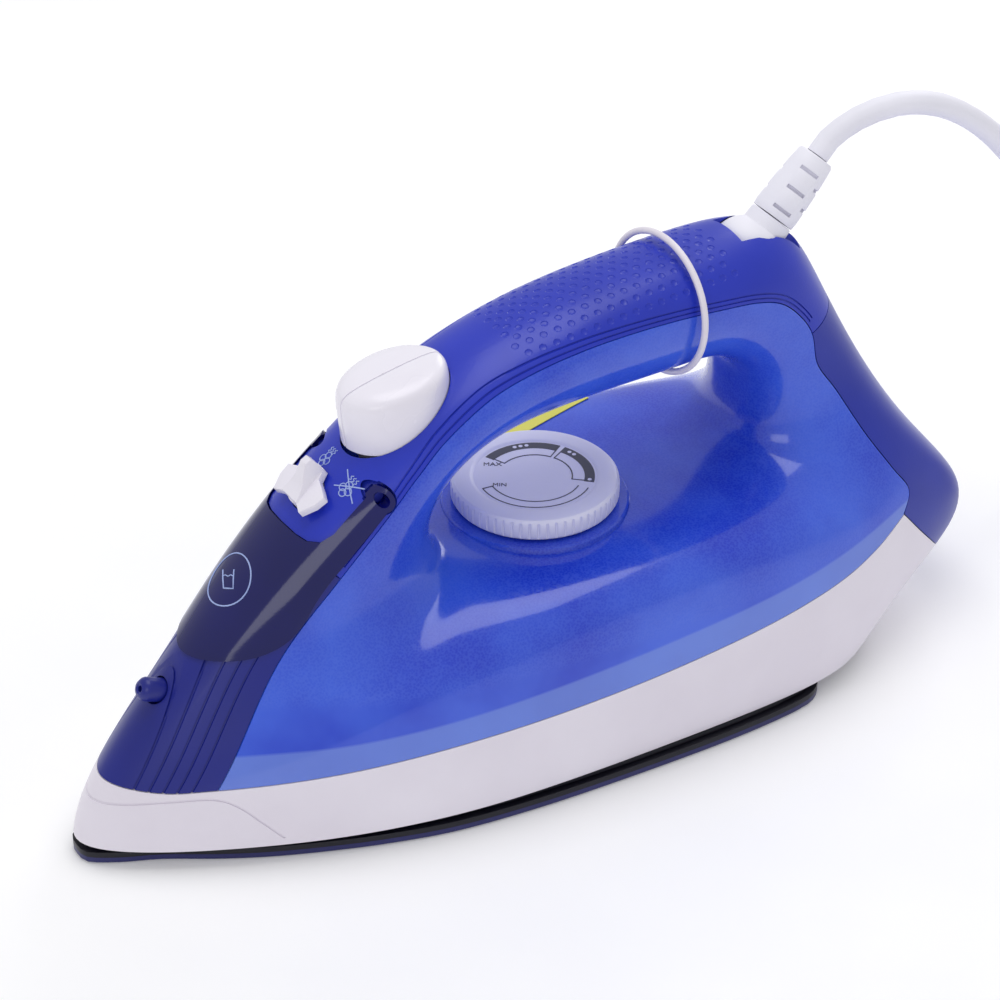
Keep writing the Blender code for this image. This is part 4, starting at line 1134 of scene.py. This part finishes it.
# %% Lever
lever_place = leaning(LEVER, LEVER_TILT)
lever = lathe("lever_fishtail", [(0, 1.8), (5, 1.8), (5, -2.2), (0, -2.2)], lever_place, 48)
tail_half = [(7.4, 1.6), (4.4, 3.2), (3.2, 6.6), (1.8, 9.8), (-1.6, 9.3), (-5.8, 7.0), (-4.7, 4.4),
             (-4.3, 1.6)]
tail_outline = tail_half + [(u, -y) for u, y in tail_half[::-1]]
tail_ring = [lever_place @ Vector((u * MM, y * MM, 0.9 * MM)) for u, y in tail_outline]
up = lever_place.to_3x3() @ Vector((0, 0, 1))
cut(lever, block("tool_tail", tail_ring, up * 2.3 * MM), "UNION")
blade = [(-4.6, 1.4), (-4.4, 3.7), (-2.4, 4.1), (0.5, 5.4), (2.8, 7.4), (4.6, 8.8), (6.6, 8.6), (7.1, 6.5),
         (7.2, 1.4)]
blade_ring = [lever_place @ Vector((u * MM, -2.6 * MM, h * MM)) for u, h in blade]
ridge = block("tool_blade", blade_ring, Vector((0, 5.2 * MM, 0)))
to_lever = lever_place.inverted()
for vert in ridge.data.vertices:
    own = to_lever @ vert.co / MM
    rise = min(1.0, max(0.0, (own.z - 1.4) / 7.4))
    half = (1.0 - rise) * (2.2 + (7 - own.x) * 0.26) + rise * 1.3
    vert.co.y = math.copysign(half * MM, vert.co.y)
cut(lever, ridge, "UNION")
soften(lever, 0.6, angle=30)
smooth(lever, TURNED_ANGLE)
place_on(lever, "steam_lever", button_plastic, "white_plastic", "steam_lever")
print("lever", len(lever.data.polygons), "faces")

# %% [markdown]
# ## Swivel ball and bend relief
# The cord leaves through a ball that turns in the grip. Its sleeve is slotted on both sides, so the cord
# bends in a gentle curve. One slot is modelled and copied along the sleeve, each row half a pitch apart.

# %% Ball and sleeve
ball_place = leaning(BALL, 90 - math.degrees(SLEEVE_ANGLE))
arc = [math.radians(a) for a in range(52, -81, -6)]
round_part = [(BALL_R * math.cos(a), BALL_R * math.sin(a)) for a in arc]
ball_profile = [(0, 12.6), (6.2, 12.6), (6.6, 12.2)] + round_part + [(0, -BALL_R)]
ball = lathe("swivel_ball", ball_profile, ball_place, 64)
cut(ball, across("tool_ball_pin", (BALL[0], BALL[2]), -20, 20, 2.3))
smooth(ball, TURNED_ANGLE)
place_on(ball, "cord_swivel", sleeve_rubber, "sleeve_white", "cord_ball")
sleeve_profile = [(3.6, 12.9), (6.6, 12.9), (6.8, 15), (6.6, 22), (6.0, 30), (5.6, 33.4), (5.1, 34),
                  (3.6, 34)]
sleeve = lathe("bend_relief", sleeve_profile, ball_place, 64)
SLOT = [(4.2, -3), (9, -3), (9, 3), (4.2, 3)]
for column, bearing in enumerate((-125, -55, 55, 125)):
    turned = ball_place @ Matrix.Rotation(math.radians(bearing), 4, "Z")
    for i in range(3):
        z = 15.2 + 6.6 * i + (3.3 if column % 2 else 0)
        if z < 31:
            ring = [turned @ Vector((x * MM, y * MM, z * MM)) for x, y in SLOT]
            cut(sleeve, block("tool_relief_slot", ring, turned.to_3x3() @ Vector((0, 0, 1.1 * MM))))
soften(sleeve, 0.15, 2)
smooth(sleeve, TURNED_ANGLE)
place_on(sleeve, "cord_swivel", sleeve_rubber, "sleeve_white", "strain_relief")
print("ball", len(ball.data.polygons), "sleeve", len(sleeve.data.polygons), "faces")

# %% [markdown]
# ## Signs on the panel and the door
# Small signs are printed beside the lever: steam, and steam crossed out. The door has an oval ring round
# a filling cup. Each is drawn as thin lines on a flat plan; every point is then dropped on the curved
# surface by a ray, and a hair-thin tube along the points makes the raised print.

# %% Signs
def stroke(name, finder, place, line, body, mat, slot, radius=0.2, closed=False):
    """A thin line of (across, along) points dropped on a surface along the frame's own Z."""
    down = place.to_3x3() @ Vector((0, 0, -1))
    route = []
    for u, v in line:
        hit, normal, _, _ = finder.ray_cast(place @ Vector((u * MM, v * MM, 40 * MM)), down)
        if hit is not None:
            lifted = (hit + normal * 0.00006) / MM
            route.append((lifted.x + MID_X, lifted.y, lifted.z))
    return place_on(smooth(tube(name, route, radius, closed, 1), ROUND_ANGLE), body, mat, slot)


def circle_line(u, v, r, squash=1.0, steps=20):
    """A round or oval ring of points."""
    return [(u + r * math.cos(2 * math.pi * i / steps), v + r * squash * math.sin(2 * math.pi * i / steps))
            for i in range(steps)]


def wave_line(u, v, length):
    """A rising wisp: along minus u, with a slight wave across."""
    return [(u + length * t / 8, v + 0.35 * math.sin(t * 1.4)) for t in range(9)]


def cloud_sign(name, u, v):
    """A little cloud of four rings over three wisps; gives back the number of its lines."""
    puffs = ((0, -1.1), (0, 1.1), (1.5, 0), (-1.2, 0))
    parts = [(circle_line(u - 1.0 + du, v + dv, 1.05), True) for du, dv in puffs]
    parts += [(wave_line(u + 1.3, v + dv, 1.9), False) for dv in (-1.1, 0, 1.1)]
    for i, (line, closed) in enumerate(parts):
        stroke(f"{name}_{i}", skin_finder, lever_place, line, "iron", print_pale, "white_plastic", 0.17,
               closed)
    return len(parts)


sign_lines = cloud_sign("sign_steam", 10.6, 4.0)
sign_lines += cloud_sign("sign_no_steam", 8.6, -9.2)
for i, (one, two) in enumerate((((11.9, -5.2), (6.2, -13.4)), ((6.3, -5.6), (11.3, -13.2)))):
    cross = [(one[0] + (two[0] - one[0]) * k / 8, one[1] + (two[1] - one[1]) * k / 8) for k in range(9)]
    stroke(f"sign_cross_{i}", skin_finder, lever_place, cross, "iron", print_pale, "white_plastic", 0.19)
door_finder = surface_finder(form(-PROUD))
door_place = leaning((52, 1.5, 73), -45)
stroke("door_ring", door_finder, door_place, circle_line(0, 0, 7.6, 1.1, 48), "fill_door", print_pale,
       "door_blue", 0.22, True)


def upright(points):
    """Turn a drawing so that its top points up the door for a person in front."""
    return [(0.5 * r + 0.59 * s, -0.86 * r + 0.81 * s) for r, s in points]


cup = upright([(-2.4, 3.0), (-2.1, 0), (-1.8, -3.0), (0, -3.0), (1.8, -3.0), (2.1, 0), (2.4, 3.0)])
stroke("door_cup", door_finder, door_place, cup, "fill_door", print_pale, "door_blue", 0.22)
level = upright([(-2.1, 0.9), (-1.2, 1.3), (0, 0.8), (1.2, 1.3), (2.1, 0.9)])
stroke("door_cup_level", door_finder, door_place, level, "fill_door", print_pale, "door_blue", 0.18)
print(sign_lines + 5, "sign lines")

# %% [markdown]
# ## Nozzle, loop and strap
# Small trims give a product its scale. The spray nozzle is turned; the tag's loop is a thin round strap
# bent to an oval; the sticker is a slice of the form itself, so it lies on the curve of the deck; the
# tie round the coil is a flat band, sawn out of a block.

# %% Small trims
nozzle_profile = [(0.9, 1.6), (1.5, 1.9), (2.3, 1.7), (3.2, 0.6), (3.4, 0), (3.4, -6), (0.9, -6)]
nozzle = lathe("spray_tip", nozzle_profile, between((24.2, 0, 47.6), (20.2, 0, 49.5)), 48)
smooth(nozzle, TURNED_ANGLE)
place_on(nozzle, "iron", nose_plastic, "nose_blue", "spray_nozzle")
LOOP_POINTS = 56
loop_route = []
for i in range(LOOP_POINTS):
    turn = 2 * math.pi * i / LOOP_POINTS
    loop_route.append((191 + 1.96 * math.sin(turn), 22.8 * math.cos(turn), 118 + 19.6 * math.sin(turn)))
loop = smooth(tube("tag_strap", loop_route, 1.0, closed=True), ROUND_ANGLE)
place_on(loop, "iron", white_plastic, "white_plastic", "tag_loop")
label = cut(fresh("deck_sticker", -0.4), form(-0.12), keep=True)
STICKER = [(138, 27), (150, 28.4), (160, 29.8), (176, 34), (194, 38.8), (194, 46), (138, 44)]
sticker_ring = [at(x, y, 55) for x, y in STICKER]
cut(label, block("tool_sticker", sticker_ring, Vector((0, 0, 25 * MM))), "INTERSECT")
smooth(label, 30)
place_on(label, "iron", label_film, "label_yellow", "rating_label")
print("sticker", len(label.data.polygons), "faces")
strap_side = [at(438.4, -34, 0), at(455.6, -34, 0), at(455.6, -34, 23.4), at(438.4, -34, 23.4)]
strap = block("coil_strap", strap_side, Vector((0, 8 * MM, 0)))
strap_hole = [at(439.3, -40, 0.9), at(454.7, -40, 0.9), at(454.7, -40, 22.5), at(439.3, -40, 22.5)]
cut(strap, block("tool_strap_hole", strap_hole, Vector((0, 20 * MM, 0))))
soften(strap, 0.35, 2)
smooth(strap, TURNED_ANGLE)
place_on(strap, "iron", rim_plastic, "rim_black", "cord_tie")
print("trims ready")

# %% [markdown]
# ## Finish the CAD nodes that stay
# Inner pieces and small metal parts already have the right shape. They keep their meshes and get their
# finish through their own material slots.

# %% Finishes of the kept nodes
finishes = {"white_plastic": white_plastic, "sleeve_white": sleeve_rubber, "sole_coating": sole_coating,
            "rim_black": rim_plastic, "cast_aluminium": cast_metal, "sheet_steel": steel, "brass": brass,
            "heater_tube": heater_steel, "rubber_grey": grey_rubber, "ceramic_white": ceramic,
            "label_yellow": label_film, "tank_blue": tank_plastic, "grip_blue": grip_plastic,
            "nose_blue": nose_plastic, "rear_blue": shaded_rear_plastic, "door_blue": door_plastic}
for name in ("door_pin_left", "door_pin_right"):
    frame["nodes"][name].material_slots[0].material = nose_plastic
kept = 0
for name in sorted(frame["nodes"]):
    node = bpy.data.objects.get(name)
    if node is None or node.hide_render:
        continue
    for holder in node.material_slots:
        word = holder.material.name.split(".")[0] if holder.material else ""
        if word in finishes:
            holder.material = finishes[word]
            kept += 1
print(kept, "slots given a finish")

# %% [markdown]
# ## Studio
# A pale floor, an even white surround and large soft lamps give the flat, bright light of a catalogue.

# %% Floor and lights
bpy.ops.object.select_all(action="DESELECT")
bpy.ops.mesh.primitive_plane_add(size=6, location=(0, 0, -0.0005))
floor = named("floor")
WHITE = (1.0, 1.0, 1.0, 1.0)
floor.data.materials.append(finish("pale_floor", (250, 250, 252), (248, 248, 251), 200, 0.05, 0.6, 0.05,
                                   Emission_Color=WHITE, Emission_Strength=0.1))
world = bpy.data.worlds.new("white_surround")
bpy.context.scene.world = world
world.use_nodes = True
surround = world.node_tree.nodes["Background"]
surround.inputs["Color"].default_value = WHITE
surround.inputs["Strength"].default_value = 0.62


def soft_lamp(name, place, size, power):
    """A square area light aimed at the iron."""
    bpy.ops.object.select_all(action="DESELECT")
    bpy.ops.object.light_add(type="AREA", location=place)
    lamp = bpy.context.object
    lamp.name = name
    lamp.data.size = size
    lamp.data.energy = power
    lamp.rotation_euler = (AIM - Vector(place)).to_track_quat("-Z", "Y").to_euler()
    return lamp


soft_lamp("overhead", (0.1, 0.2, 1.3), 0.8, 5.0)
soft_lamp("front_left", (-0.9, -0.7, 0.7), 0.5, 1.6)
soft_lamp("back_right", (0.8, 0.5, 0.6), 0.4, 1.6)
bpy.context.scene.view_settings.view_transform = "Standard"
bpy.context.scene.view_settings.look = "None"
print("studio ready")

# %% [markdown]
# ## Finish
# Tools are put away.

# %% Finish
for tool in [o for o in bpy.data.objects if o.name.startswith("tool_")]:
    bpy.data.objects.remove(tool)
